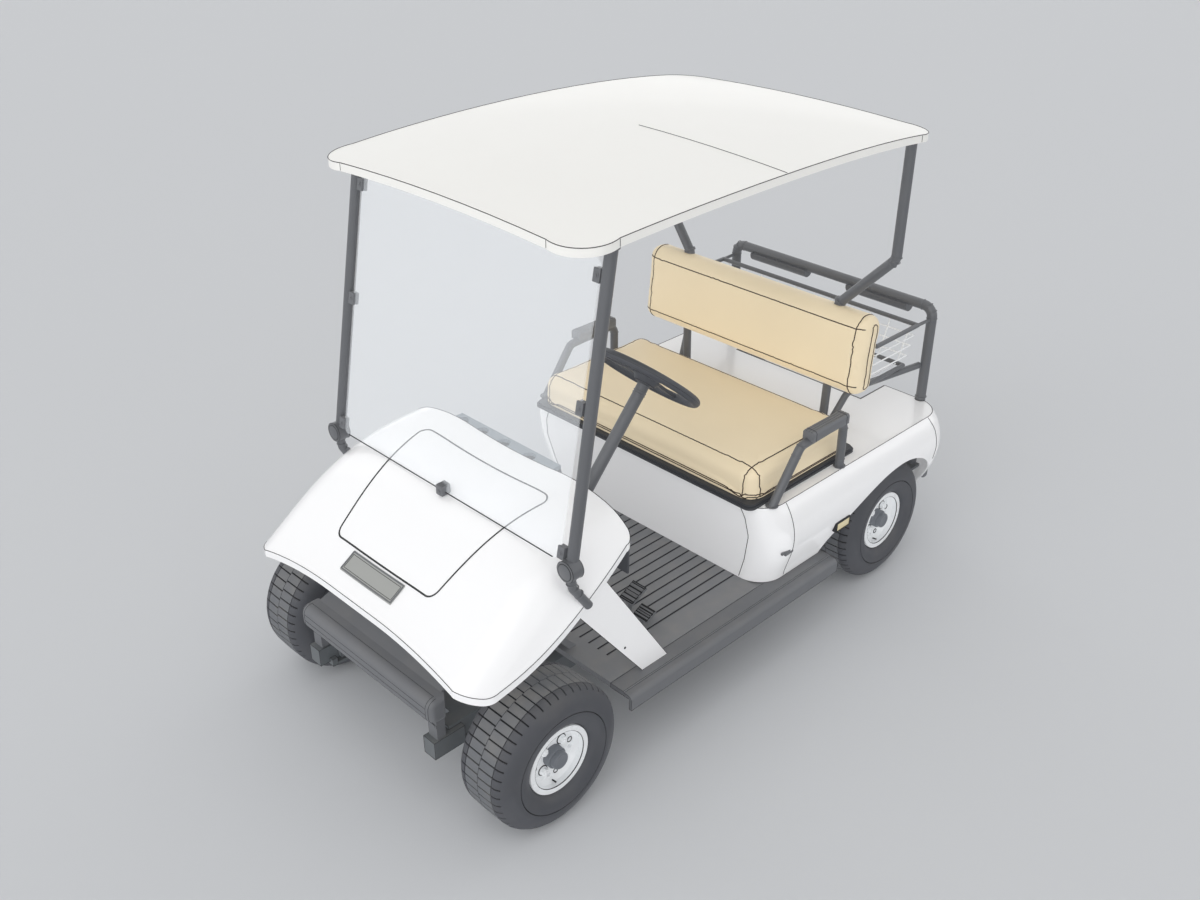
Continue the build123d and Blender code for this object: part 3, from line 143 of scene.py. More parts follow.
class CartTyres(bpy.types.PropertyGroup):
    pitches: bpy.props.IntProperty(name="Tread pitches", min=12, max=90, default=48,
                                   description="Lateral grooves round one tyre")
    groove_depth: length("Groove depth", "Depth of the tread grooves", 4.0)
    block_width: length("Block width", "Width of one column of tread blocks", 55)
    slot_end: length("Slot end", "How far the lateral grooves reach from the middle", 80)
    ring_radius: length("Sidewall ring", "Radius of the line moulded in the sidewall", 162)


class CartSeat(bpy.types.PropertyGroup):
    voxel: length("Voxel", "Voxel size of the remeshed cushions", 6)
    swell: length("Swell", "Most that the foam pushes the vinyl out", 6)
    piping: length("Piping", "Radius of the sewn piping", 2.0)
    tuck: length("Tuck", "How far a seam pulls the vinyl in", 1.6)
    pressure: bpy.props.FloatProperty(name="Pressure", default=4.0, min=0,
                                      description="Pressure of the foam in the simulation")


class CartTrim(bpy.types.PropertyGroup):
    # Painted shade: seam is the radius of the thin dark beads laid along creases and edges for
    # their shade.
    seam: length("Seam", "Radius of a bead that marks a panel seam", 1.3)
    # Painted shadow: gap is the radius of the dark bead laid in the hatch's gap to stand for the
    # shadow in it.
    gap: length("Gap", "Radius of the seal in the hatch's gap", 2.6)
    step: length("Step", "Spacing of the points of a seam", 12)


class CartStage(bpy.types.PropertyGroup):
    floor: colour("Floor", "Plain pale floor", 206, 208, 211)
    sky: bpy.props.FloatProperty(name="Sky", description="Strength of the even sky light",
                                 default=0.2, min=0)
    key: bpy.props.FloatProperty(name="Key", description="Strength of the soft key light",
                                 default=0.3, min=0)
    front: bpy.props.FloatProperty(name="Front", min=0, default=1.15,
                                   description="Strength of the shadowless fill from ahead")
    fill: bpy.props.FloatProperty(name="Fill", description="Strength of each shadowless fill",
                                  default=0.74, min=0)
    bounce: bpy.props.FloatProperty(name="Bounce", min=0, default=1.05,
                                    description="Strength of each shadowless fill from below")


SETTINGS = {"cart_paint": CartPaint, "cart_tyres": CartTyres, "cart_seat": CartSeat,
            "cart_trim": CartTrim, "cart_stage": CartStage}


def settings(name):
    """One group of the scene's settings."""
    return getattr(bpy.context.scene, name)


# ---- small modelling helpers --------------------------------------------------------
def deselect():
    """Leaves edit mode and selects nothing."""
    if bpy.context.object and bpy.context.object.mode != "OBJECT":
        bpy.ops.object.mode_set(mode="OBJECT")
    bpy.ops.object.select_all(action="DESELECT")


def pick(*pieces):
    """Selects just these pieces, the first of them active."""
    deselect()
    for piece in pieces:
        piece.select_set(True)
    bpy.context.view_layer.objects.active = pieces[0]
    return pieces[0]


def edit_selected(piece, mode="FACE"):
    """Opens a piece in edit mode with its own selection."""
    pick(piece)
    bpy.ops.object.mode_set(mode="EDIT")
    bpy.ops.mesh.select_mode(type=mode)


def edit(piece, mode="FACE"):
    """Opens a piece in edit mode with all of it selected."""
    edit_selected(piece, mode)
    bpy.ops.mesh.select_all(action="SELECT")


def leave():
    """Goes back to object mode."""
    bpy.ops.object.mode_set(mode="OBJECT")


def settle():
    """Puts the active piece's place into its mesh."""
    bpy.ops.object.transform_apply(location=True, rotation=True, scale=True)
    return bpy.context.object


def apply_modifier(piece, name, kind, **values):
    """Adds a modifier with these values and applies it."""
    pick(piece)
    modifier = piece.modifiers.new(name, kind)
    for key, value in values.items():
        setattr(modifier, key, value)
    bpy.ops.object.modifier_apply(modifier=name)
    return piece


def weld(piece, distance=0.00002):
    """Merges doubles and turns every face outwards."""
    edit(piece)
    bpy.ops.mesh.remove_doubles(threshold=distance)
    bpy.ops.mesh.normals_make_consistent(inside=False)
    leave()
    return piece


def smooth(piece, degrees=35):
    """Shades a piece smooth, but for its edges sharper than an angle."""
    pick(piece)
    bpy.ops.object.shade_smooth_by_angle(angle=math.radians(degrees))
    return piece


def select_where(piece, test, kind="polygons"):
    """Selects the faces or edges whose test is true, with the piece in object mode."""
    for group in (piece.data.polygons, piece.data.edges, piece.data.vertices):
        group.foreach_set("select", [False] * len(group))
    for item in getattr(piece.data, kind):
        item.select = test(item)


def done(piece, name, body, slot, *coats):
    """Names a finished piece, gives it its finishes and makes it ride on its body."""
    piece.name = piece.data.name = name
    materials = piece.data.materials
    if len(materials) != len(coats):
        materials.clear()
        for coat in coats:
            materials.append(FINISH[coat])
    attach(piece, body)
    deselect()
    return piece


def merged(pieces):
    """Joins several pieces into the first."""
    pick(*pieces)
    if len(pieces) > 1:
        bpy.ops.object.join()
    return bpy.context.object


def fitted(parts, name, slot, coat=None, degrees=35, body="chassis"):
    """Joins, smooths and finishes parts; their coat is the slot's unless one is named."""
    return done(smooth(merged(parts), degrees), name, body, slot, coat or slot)


def lined(lines, name, body="chassis"):
    """Joins beads into the dark lines of a piece."""
    return done(merged(lines), name, body, None, "gap")


def copied(piece, offset=(0, 0, 0), side=1):
    """A copy with its own mesh, mirrored to the other side when side is -1, then moved."""
    pick(piece)
    bpy.ops.object.duplicate(linked=False)
    copy = bpy.context.object
    copy.scale.y = side
    copy.location = offset
    settle()
    if side < 0:
        edit(copy)
        bpy.ops.mesh.normals_make_consistent(inside=False)
        leave()
    return copy


def slab(low, high, bevel, segments=3):
    """A block between two corners with its edges rounded."""
    bpy.ops.mesh.primitive_cube_add(size=1, location=(Vector(low) + Vector(high)) / 2)
    piece = bpy.context.object
    piece.scale = Vector(high) - Vector(low)
    settle()
    return apply_modifier(piece, "Round", "BEVEL", width=bevel, segments=segments,
                          limit_method="NONE")


def drum(start, end, radius, bevel=0.001, sides=32):
    """A round or many-sided bar between two points with its rims rounded."""
    line = Vector(end) - Vector(start)
    bpy.ops.mesh.primitive_cylinder_add(vertices=sides, radius=radius, depth=line.length,
                                        location=(Vector(start) + Vector(end)) / 2,
                                        rotation=line.to_track_quat("Z", "Y").to_euler())
    piece = settle()
    return apply_modifier(piece, "Round", "BEVEL", width=bevel, segments=2,
                          limit_method="ANGLE", angle_limit=math.radians(50))


def ring(centre, axis, radius, thickness, segments=40, sides=8):
    """A round ring about an axis."""
    bpy.ops.mesh.primitive_torus_add(location=centre, major_radius=radius, minor_radius=thickness,
                                     rotation=Vector(axis).to_track_quat("Z", "Y").to_euler(),
                                     major_segments=segments, minor_segments=sides)
    return settle()


def added(name, data):
    """A new object for this mesh or curve."""
    piece = bpy.data.objects.new(name, data)
    bpy.context.collection.objects.link(piece)
    return piece


def chain(name, points, closed=False):
    """A mesh of points joined one to the next."""
    mesh = bpy.data.meshes.new(name)
    count = len(points)
    mesh.from_pydata(points, [(i, (i + 1) % count) for i in range(count - 1 + closed)], [])
    return added(name, mesh)


def lathe(profile, centre, axis, steps=48):
    """A turned form: profile is a list of (distance along the axis, radius)."""
    way = Vector(axis).normalized()
    out = way.orthogonal().normalized()
    piece = chain("turned", [Vector(centre) + way * along + out * radius
                             for along, radius in profile])
    edit(piece, "VERT")
    bpy.ops.mesh.spin(steps=steps, angle=math.tau, center=centre, axis=way)
    leave()
    return weld(piece)


def profile_bar(section, start, along, bevel=0.0008):
    """A bar of one closed section, a list of offsets from start, pushed along a way."""
    piece = chain("bar", [Vector(start) + Vector(offset) for offset in section], True)
    edit(piece, "EDGE")
    bpy.ops.mesh.edge_face_add()
    bpy.ops.mesh.extrude_region_move(TRANSFORM_OT_translate={"value": Vector(along)})
    bpy.ops.mesh.select_all(action="SELECT")
    bpy.ops.mesh.normals_make_consistent(inside=False)
    leave()
    return apply_modifier(piece, "Round", "BEVEL", width=bevel, segments=2,
                          limit_method="ANGLE", angle_limit=math.radians(30))


def rounded(curve, radius, sides):
    """Gives the active curve a round section and makes it a mesh."""
    curve.bevel_depth = radius
    curve.bevel_resolution = sides
    curve.use_fill_caps = True
    bpy.ops.object.convert(target="MESH")
    return bpy.context.object


def bead(points, radius, sides=1):
    """A thin round bead along a chain of points, as a mesh."""
    curve = bpy.data.curves.new("bead", "CURVE")
    curve.dimensions = "3D"
    spline = curve.splines.new("POLY")
    spline.points.add(len(points) - 1)
    for target, point in zip(spline.points, points):
        target.co = (*point, 1)
    pick(added("bead", curve))
    return rounded(curve, radius, sides)


def spaced(points, step):
    """A chain of points no further apart than step."""
    result = [Vector(points[0])]
    for end in points[1:]:
        start, run = result[-1], Vector(end) - result[-1]
        count = max(1, math.ceil(run.length / step))
        result += [start + run * (index + 1) / count for index in range(count)]
    return result


def cast(target, points, way, reach=0.25):
    """Where rays towards way, started a reach before each point, first meet a surface."""
    way = Vector(way).normalized()
    found = []
    for point in spaced(points, settings("cart_trim").step):
        hit, place, _, _ = target.ray_cast(point - way * reach, way)
        if hit:
            found.append(place)
    if len(found) < 2:
        raise RuntimeError(f"a seam misses {target.name}")
    return found


def nearest(target, points, step=0.008):
    """The places on a surface nearest to points that lie just outside it."""
    return [target.closest_point_on_mesh(point)[1] for point in spaced(points, step)]


def edge_beads(node, test, radius):
    """Beads along the edges of a CAD node whose two faces pass a test."""
    mesh = NODES[node].data.copy()
    mesh.materials.clear()
    piece = weld(added("edges", mesh))
    shape = bmesh.new()
    shape.from_mesh(mesh)
    spare = [e for e in shape.edges
             if len(e.link_faces) != 2 or not test(e, *(f.normal for f in e.link_faces))]
    bmesh.ops.delete(shape, geom=list(shape.faces), context="FACES_ONLY")
    bmesh.ops.delete(shape, geom=spare, context="EDGES")
    shape.to_mesh(mesh)
    shape.free()
    pick(piece)
    bpy.ops.object.convert(target="CURVE")
    return rounded(bpy.context.object.data, radius, 0)


def rim_edge(flat=0.3):
    """A test for the edges where a top surface turns down into an upright side."""
    def test(edge, first, second):
        high, low = max(first.z, second.z), min(first.z, second.z)
        return high > flat and abs(low) < flat
    return test


def sharp_edge(degrees):
    """A test for edges sharper than an angle."""
    limit = math.cos(math.radians(degrees))

    def test(edge, first, second):
        return first.dot(second) < limit
    return test


def bolt(place, way, radius=0.006, height=0.005):
    """A hexagon bolt head on its washer."""
    way = Vector(way).normalized()
    washer = drum(place, Vector(place) + way * height * 0.3, radius * 1.7, 0.0003, 20)
    head = drum(place, Vector(place) + way * height, radius, 0.0006, 6)
    return merged([washer, head])


# ---- finishes -----------------------------------------------------------------------
WHITE = (1.0, 1.0, 1.0, 1.0)


def new_group(name, output, **inputs):
    """A shader node group: the inputs' defaults by name, a colour where it has four parts."""
    group = bpy.data.node_groups.new(name, "ShaderNodeTree")
    for label, default in inputs.items():
        kind = "NodeSocketColor" if default == WHITE else "NodeSocketFloat"
        socket = group.interface.new_socket(label.replace("_", " "), in_out="INPUT",
                                            socket_type=kind)
        socket.default_value = default
    kind = "NodeSocketColor" if output == "Colour" else "NodeSocketFloat"
    group.interface.new_socket(output, in_out="OUTPUT", socket_type=kind)
    return group, group.nodes.new("NodeGroupInput"), group.nodes.new("NodeGroupOutput")


def noise_on_object(group, scale_from, detail=3.0):
    """A noise texture on the object's own coordinates, sized by a group input."""
    place = group.nodes.new("ShaderNodeTexCoord")
    noise = group.nodes.new("ShaderNodeTexNoise")
    noise.inputs["Detail"].default_value = detail
    group.links.new(place.outputs["Object"], noise.inputs["Vector"])
    group.links.new(scale_from, noise.inputs["Scale"])
    return noise.outputs["Fac"]


def calculate(group, operation, *values):
    """A Math node: each value is a socket or a number."""
    node = group.nodes.new("ShaderNodeMath")
    node.operation = operation
    for socket, value in zip(node.inputs, values):
        if isinstance(value, (int, float)):
            socket.default_value = value
        else:
            group.links.new(value, socket)
    return node.outputs[0]


def blend(tree, factor, first, second):
    """A colour mix of a socket with a socket or a colour."""
    mix = tree.nodes.new("ShaderNodeMix")
    mix.data_type = "RGBA"
    tree.links.new(factor, mix.inputs["Factor"])
    tree.links.new(first, mix.inputs["A"])
    if isinstance(second, tuple):
        mix.inputs["B"].default_value = (*second, 1)
    else:
        tree.links.new(second, mix.inputs["B"])
    return mix.outputs["Result"]


def split_of(tree, node, output):
    """The X, Y and Z of a new node's output."""
    split = tree.nodes.new("ShaderNodeSeparateXYZ")
    tree.links.new(tree.nodes.new(node).outputs[output], split.inputs[0])
    return split.outputs


def build_groups():
    """The shared effects: tone drift, scuffs, fine grain, leather grain and dust."""
    group, given, made = new_group("Tone drift", "Colour", Colour=WHITE, Amount=0.05, Scale=4.0)
    cloud = noise_on_object(group, given.outputs["Scale"])
    keep = calculate(group, "SUBTRACT", 1.0,
                     calculate(group, "MULTIPLY", cloud, given.outputs["Amount"]))
    tint = group.nodes.new("ShaderNodeVectorMath")
    tint.operation = "SCALE"
    group.links.new(given.outputs["Colour"], tint.inputs[0])
    group.links.new(keep, tint.inputs["Scale"])
    group.links.new(tint.outputs[0], made.inputs["Colour"])

    group, given, made = new_group("Scuffs", "Roughness", Base=0.5, Spread=0.1, Scale=30.0)
    cloud = noise_on_object(group, given.outputs["Scale"], 5.0)
    centred = calculate(group, "SUBTRACT", cloud, 0.5)
    moved = calculate(group, "MULTIPLY", centred, given.outputs["Spread"])
    group.links.new(calculate(group, "ADD", moved, given.outputs["Base"]),
                    made.inputs["Roughness"])

    group, given, made = new_group("Fine grain", "Height", Scale=900.0, Depth=0.05)
    cloud = noise_on_object(group, given.outputs["Scale"], 2.0)
    group.links.new(calculate(group, "MULTIPLY", cloud, given.outputs["Depth"]),
                    made.inputs["Height"])

    group, given, made = new_group("Leather grain", "Height", Scale=420.0, Depth=0.2)
    place = group.nodes.new("ShaderNodeTexCoord")
    cells = group.nodes.new("ShaderNodeTexVoronoi")
    cells.feature = "DISTANCE_TO_EDGE"
    group.links.new(place.outputs["Object"], cells.inputs["Vector"])
    group.links.new(given.outputs["Scale"], cells.inputs["Scale"])
    pebble = calculate(group, "MINIMUM", cells.outputs["Distance"], 0.25)
    group.links.new(calculate(group, "MULTIPLY", pebble, given.outputs["Depth"]),
                    made.inputs["Height"])

    group, given, made = new_group("Dust", "Colour", Colour=WHITE, Dust_colour=WHITE, Amount=0.1,
                                   Scale=14.0)
    cloud = noise_on_object(group, given.outputs["Scale"], 6.0)
    patch = calculate(group, "MULTIPLY", calculate(group, "POWER", cloud, 2.0), 2.0)
    upward = calculate(group, "MAXIMUM", split_of(group, "ShaderNodeNewGeometry", "Normal")["Z"],
                       0.25)
    mask = calculate(group, "MULTIPLY", calculate(group, "MULTIPLY", patch, upward),
                     given.outputs["Amount"])
    group.links.new(blend(group, mask, given.outputs["Colour"], given.outputs["Dust colour"]),
                    made.inputs["Colour"])


def group_node(material, name, **values):
    """Places a shared effect in a material with its own values."""
    node = material.node_tree.nodes.new("ShaderNodeGroup")
    node.node_tree = bpy.data.node_groups[name]
    for label, value in values.items():
        node.inputs[label.replace("_", " ")].default_value = value
    return node


DUST = linear(168, 160, 146)


def finish(name, paint, roughness, grain=("Fine grain", 900, 0.03), drift=0.05, scuff=0.08,
           dust=0.0, **sockets):
    """A material whose colour, roughness and bump vary over the surface."""
    material = bpy.data.materials.new(name)
    material.use_nodes = True
    links = material.node_tree.links
    shader = material.node_tree.nodes["Principled BSDF"]
    tone = group_node(material, "Tone drift", Colour=(*paint, 1), Amount=drift, Scale=5.0)
    if dust:
        dusty = group_node(material, "Dust", Dust_colour=(*DUST, 1), Amount=dust)
        links.new(tone.outputs[0], dusty.inputs["Colour"])
        tone = dusty
    links.new(tone.outputs[0], shader.inputs["Base Color"])
    worn = group_node(material, "Scuffs", Base=roughness, Spread=scuff, Scale=24.0)
    links.new(worn.outputs[0], shader.inputs["Roughness"])
    height = group_node(material, grain[0], Scale=float(grain[1]), Depth=grain[2])
    bump = material.node_tree.nodes.new("ShaderNodeBump")
    bump.inputs["Distance"].default_value = MM
    links.new(height.outputs[0], bump.inputs["Height"])
    links.new(bump.outputs["Normal"], shader.inputs["Normal"])
    for label, value in sockets.items():
        shader.inputs[label.replace("_", " ")].default_value = value
    return material


def shaded(material, shade, mask_of):
    """Shades a finish where a mask of the object's own X, Y and Z is one."""
    tree = material.node_tree
    base = tree.nodes["Principled BSDF"].inputs["Base Color"]
    tone = base.links[0].from_socket
    mask = mask_of(tree, split_of(tree, "ShaderNodeTexCoord", "Object"))
    tree.links.new(blend(tree, mask, tone, tuple(shade)), base)
    return material


RIB_TOP = 286 * MM
RIB_FRONT, RIB_REAR, RIB_SIDE = 470, -131, 404
TRAY_FLOOR = 826 * MM


def painted_groove_shade(tree, place):
    """One in the grooves of the floor mat's ribbed part."""
    low = calculate(tree, "LESS_THAN", place["Z"], RIB_TOP - 1.2 * MM)
    behind = calculate(tree, "LESS_THAN", place["X"], at(RIB_FRONT, 0, 0).x)
    ahead = calculate(tree, "GREATER_THAN", place["X"], at(RIB_REAR, 0, 0).x)
    inner = calculate(tree, "LESS_THAN", calculate(tree, "ABSOLUTE", place["Y"]), RIB_SIDE * MM)
    return calculate(tree, "MULTIPLY", calculate(tree, "MULTIPLY", low, behind),
                     calculate(tree, "MULTIPLY", ahead, inner))


def below_tray(tree, place):
    """One on the dash's wall, below the floor of its tray."""
    return calculate(tree, "LESS_THAN", place["Z"], TRAY_FLOOR)


FINISH = {}


def make_finishes():
    """Every material, by the record's slot or by its own name."""
    build_groups()
    paint = settings("cart_paint")
    plastic = ("Fine grain", 1100, 0.06)
    coat = ("Fine grain", 1500, 0.05)
    FINISH.update({
        "body_panel": finish("body_gelcoat", paint.body, 0.24, ("Fine grain", 220, 0.012), 0.015,
                             0.06, Coat_Weight=0.4, Coat_Roughness=0.08),
        "roof_panel": finish("roof_gelcoat", paint.roof, 0.42, ("Fine grain", 420, 0.03), 0.02,
                             0.1, Coat_Weight=0.1),
        "dark_plastic": finish("trim_plastic", paint.trim, 0.55, plastic, 0.08, 0.12, 0.1),
        "dash_plastic": shaded(finish("dash_plastic", paint.dash, 0.5, plastic, 0.06, 0.1),
                               paint.board, below_tray),
        "tube_paint": finish("tube_powder_coat", paint.tube, 0.42, coat, 0.05, 0.1, 0.05,
                             Coat_Weight=0.15),
        "chassis_paint": finish("chassis_paint", paint.chassis, 0.5, coat, 0.1, 0.14, 0.22),
        # Painted shade: the mat's grooves are coloured dark where their shade falls.
        "floor_mat": shaded(finish("floor_mat", paint.mat, 0.6, ("Fine grain", 700, 0.12), 0.07,
                                   0.12, 0.18), paint.groove, painted_groove_shade),
        "grip_plastic": finish("grip_plastic", paint.grip, 0.5, ("Leather grain", 700, 0.12),
                               0.05, 0.1),
        "seat_vinyl": finish("seat_vinyl", paint.vinyl, 0.46, ("Leather grain", 420, 0.22),
                             0.05, 0.1, Sheen_Weight=0.08),
        "seat_base": finish("seat_board_plastic", paint.board, 0.5, plastic, 0.05, 0.1),
        "reflector": finish("reflector_lens", paint.lens, 0.16, ("Leather grain", 260, 0.3),
                            0.04, 0.05, Coat_Weight=0.6),
        "battery_case": finish("battery_case", paint.battery, 0.5, plastic, 0.06, 0.1, 0.2),
        "tyre": finish("tyre_rubber", paint.tyre, 0.68, ("Fine grain", 800, 0.12), 0.1, 0.14,
                       0.12),
        "rim_paint": finish("rim_enamel", paint.rim, 0.28, ("Fine grain", 600, 0.015), 0.03,
                            0.08, Coat_Weight=0.3),
        "cap_plastic": finish("cap_plastic", paint.cap, 0.45, plastic, 0.06, 0.1),
        "windshield": finish("windshield_sheet", paint.glass, 0.07, ("Fine grain", 60, 0.004),
                             0.01, 0.02, Alpha=paint.glass_cover, Specular_IOR_Level=0.5),
        "tread": finish("tread_rubber", paint.tread, 0.72, ("Fine grain", 500, 0.2), 0.12, 0.15,
                        0.3),
        # Painted shade: this near-black stands for the shade in the tyres' grooves and sidewall
        # ring. The pedals' rubber ribs wear it as their own dark colour.
        "groove": finish("tread_groove", paint.gap, 0.8, ("Fine grain", 500, 0.1), 0.1, 0.1),
        # Painted shade: the thin dark lines along creases, edges and gaps wear this finish, and the
        # reflectors' real dark frames do too.
        "gap": finish("panel_gap", paint.gap, 0.6, plastic, 0.08, 0.1),
        "thread": finish("seat_piping", paint.thread, 0.6, ("Fine grain", 1600, 0.2), 0.1, 0.1),
        "plate": finish("blank_plate", paint.plate, 0.36, ("Fine grain", 900, 0.03), 0.06, 0.1,
                        Metallic=0.3),
        "steel": finish("zinc_plate", paint.steel, 0.36, ("Fine grain", 900, 0.03), 0.12, 0.15,
                        Metallic=0.85),
    })


# The slot of every CAD node whose name doesn't say it.
NODE_SLOTS = {
    "body_panel": ("cowl", "cowl_hatch", "cowl_legs", "body_shell", "rear_apron"),
    "roof_panel": ("roof",),
    "dark_plastic": ("front_bumper", "rear_bumper", "rocker_panels", "bag_well", "armrest_pads",
                     "windshield_clips", "pedals"),
    "plate": ("nameplate",),
    "dash_plastic": ("dash_panel",),
    "tube_paint": ("front_struts", "rear_struts", "backrest_frame", "armrest_rails", "bag_rack",
                   "basket_frame", "basket", "steering_column"),
    "chassis_paint": ("frame", "front_axle", "rear_axle", "leaf_springs", "knuckle_left",
                      "knuckle_right", "tie_rod", "drive_motor"),
    "floor_mat": ("floor_panel",),
    "grip_plastic": ("steering_wheel",),
    "seat_vinyl": ("seat_cushion", "backrest"),
    "seat_base": ("seat_board",),
    "windshield": ("windshield",),
    "reflector": ("reflectors",),
    "battery_case": ("battery_pack",),
    "rim_paint": ("basket_wires",) + tuple(f"rim_{corner}" for corner in CORNERS),
    "tyre": tuple(f"tyre_{corner}" for corner in CORNERS),
    "cap_plastic": tuple(f"hub_cap_{corner}" for corner in CORNERS),
}


def dress_nodes():
    """Puts the finishes on the CAD nodes."""
    for slot, names in NODE_SLOTS.items():
        for name in names:
            if name in NODES:
                mesh = NODES[name].data
                mesh.materials.clear()
                mesh.materials.append(FINISH[slot])


# ---- stage --------------------------------------------------------------------------
CAMERA_AT = at(2588.5, 2524.5, 2727.0)
CAMERA_YAW = -2.348
CAMERA_PITCH = -0.521
CAMERA_LENS = 37.62
SENSOR = 36.0
FLOOR_SIZE = 80.0
LAMPS_AT = (0, 0, 4)
KEY_WAY = (-0.5, -0.25, -1.0)
FRONT_WAY = (-0.93, -0.25, -0.12)
KEY_SPREAD = math.radians(40)
FILL_SPREAD = math.radians(90)
FILL_WAYS = [(x, y, z) for z in (-1, 1) for x in (-1, 1) for y in (-1, 1)]


def make_stage():
    """Camera, pale floor, soft key light and even sky."""
    stage = settings("cart_stage")
    scene = bpy.context.scene
    scene.view_settings.view_transform = "Standard"
    aim = Vector((math.cos(CAMERA_PITCH) * math.cos(CAMERA_YAW),
                  math.cos(CAMERA_PITCH) * math.sin(CAMERA_YAW), math.sin(CAMERA_PITCH)))
    bpy.ops.object.camera_add(location=CAMERA_AT, rotation=aim.to_track_quat("-Z", "Y").to_euler())
    camera = bpy.context.object
    camera.data.sensor_width = SENSOR
    camera.data.lens = CAMERA_LENS
    scene.camera = camera
    lamps = [("key", KEY_WAY, stage.key, KEY_SPREAD, True),
             ("front", FRONT_WAY, stage.front, FILL_SPREAD, False)]
    for index, way in enumerate(FILL_WAYS):
        strength = stage.fill if way[2] < 0 else stage.bounce
        lamps.append((f"fill_{index}", way, strength, FILL_SPREAD, False))
    for name, way, strength, spread, shadow in lamps:
        turn = Vector(way).to_track_quat("-Z", "Y").to_euler()
        bpy.ops.object.light_add(type="SUN", rotation=turn, location=LAMPS_AT)
        lamp = bpy.context.object
        lamp.name = name
        lamp.data.energy = strength
        lamp.data.angle = spread
        lamp.data.use_shadow = shadow
    bpy.ops.mesh.primitive_plane_add(size=FLOOR_SIZE)
    floor = bpy.context.object
    floor.name = "floor"
    material = bpy.data.materials.new("floor_paper")
    material.use_nodes = True
    shader = material.node_tree.nodes["Principled BSDF"]
    shader.inputs["Base Color"].default_value = (*stage.floor, 1)
    shader.inputs["Roughness"].default_value = 0.9
    shader.inputs["Specular IOR Level"].default_value = 0.1
    floor.data.materials.append(material)
    world = bpy.data.worlds.new("sky")
    scene.world = world
    world.use_nodes = True
    nodes, links = world.node_tree.nodes, world.node_tree.links
    light = nodes["Background"]
    light.inputs["Color"].default_value = (1, 1, 1, 1)
    light.inputs["Strength"].default_value = stage.sky
    seen = nodes.new("ShaderNodeBackground")
    seen.inputs["Color"].default_value = (*stage.floor, 1)
    seen.inputs["Strength"].default_value = 1.0
    ray = nodes.new("ShaderNodeLightPath")
    mixer = nodes.new("ShaderNodeMixShader")
    seen_by = ray.outputs["Is Camera Ray"]
    for other in ("Is Glossy Ray", "Is Transmission Ray"):
        seen_by = calculate(world.node_tree, "MAXIMUM", seen_by, ray.outputs[other])
    links.new(seen_by, mixer.inputs[0])
    links.new(light.outputs[0], mixer.inputs[1])
    links.new(seen.outputs[0], mixer.inputs[2])
    links.new(mixer.outputs[0], nodes["World Output"].inputs["Surface"])


# ---- tyres --------------------------------------------------------------------------
STEPS_PER_PITCH = 12     # the first two of them are the lateral groove
SLOT_STEPS = 2
STAGGER = 3              # steps that one column of blocks lags behind the other
GROOVE_HALF = 1.6 * MM
CENTRE_HALF = 1.1 * MM
SHOULDER_Y = 60 * MM
SIDE_POINTS = 9
CROWN_RISE = 1.5 * MM
TYRE_COATS = ("tyre", "tread", "groove")


def tyre_profile(tyres, radius, half, widest, bead):
    """The outer half section of a tyre, as (distance from the middle, radius)."""
    crown = radius - CROWN_RISE
    rows = [CENTRE_HALF, tyres.block_width * 0.5, tyres.block_width - GROOVE_HALF,
            tyres.block_width + GROOVE_HALF]
    section = [(y, crown + CROWN_RISE * (1 - (y / SHOULDER_Y) ** 2)) for y in rows]
    for index in range(SIDE_POINTS):
        angle = math.pi / 2 * index / SIDE_POINTS
        section.append((SHOULDER_Y + (half - SHOULDER_Y) * math.sin(angle),
                        widest + (crown - widest) * math.cos(angle)))
    ring_rows = (tyres.ring_radius + GROOVE_HALF, tyres.ring_radius - GROOVE_HALF)
    section += [(half - 0.4 * MM, ring_rows[0]), (half - 0.4 * MM, ring_rows[1])]
    for index in range(1, 7):
        angle = math.pi / 2 * index / 6
        section.append((bead[1] + (half - 1.5 * MM - bead[1]) * math.cos(angle),
                        widest + (bead[0] - widest) * math.sin(angle)))
    return section


def make_tyre():
    """One tyre about the Y axis: turned, then its tread grooves pressed in."""
    tyres = settings("cart_tyres")
    low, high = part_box("tyre_front_left")
    radius, half = (high.z - low.z) / 2, (high.y - low.y) / 2
    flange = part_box("rim_front_left")
    rim_radius = (flange[1].z - flange[0].z) / 2
    bead = (rim_radius + 4 * MM, (flange[1].y - flange[0].y) / 2 - 8 * MM)
    outer = tyre_profile(tyres, radius, half, 156 * MM, bead)
    seat = (bead[1], rim_radius - 11 * MM)
    section = [(-y, r) for y, r in reversed(outer)] + outer
    section = [(-seat[0], seat[1])] + section + [seat, (-seat[0], seat[1])]
    steps = tyres.pitches * STEPS_PER_PITCH
    tyre = lathe(section, (0, 0, 0), (0, 1, 0), steps)

    def angle_step(centre):
        turn = math.atan2(centre.z, centre.x) / math.tau % 1.0
        return int(turn * steps + 0.01) % STEPS_PER_PITCH

    def groove(face):
        y, r = face.center.y, math.hypot(face.center.x, face.center.z)
        if abs(abs(r) - tyres.ring_radius) < 1.2 * GROOVE_HALF and abs(y) > half * 0.9:
            return True
        if r < radius * 0.9:
            return False
        if abs(y) < CENTRE_HALF or abs(abs(y) - tyres.block_width) < GROOVE_HALF * 0.9:
            return True
        lag = STAGGER if y < 0 else 0
        return abs(y) < tyres.slot_end and 0 <= angle_step(face.center) - lag < SLOT_STEPS

    select_where(tyre, lambda face: abs(face.center.y) < tyres.block_width
                 and math.hypot(face.center.x, face.center.z) > radius * 0.94)
    for coat in TYRE_COATS:
        tyre.data.materials.append(FINISH[coat])
    for face in tyre.data.polygons:
        face.material_index = 1 if face.select else 0
    # The groove faces are pushed in and painted near-black as painted shade.
    select_where(tyre, groove)
    edit_selected(tyre)
    bpy.ops.mesh.extrude_region_shrink_fatten(
        TRANSFORM_OT_shrink_fatten={"value": -tyres.groove_depth})
    tyre.active_material_index = 2
    bpy.ops.object.material_slot_assign()
    leave()
    return smooth(tyre, 28)


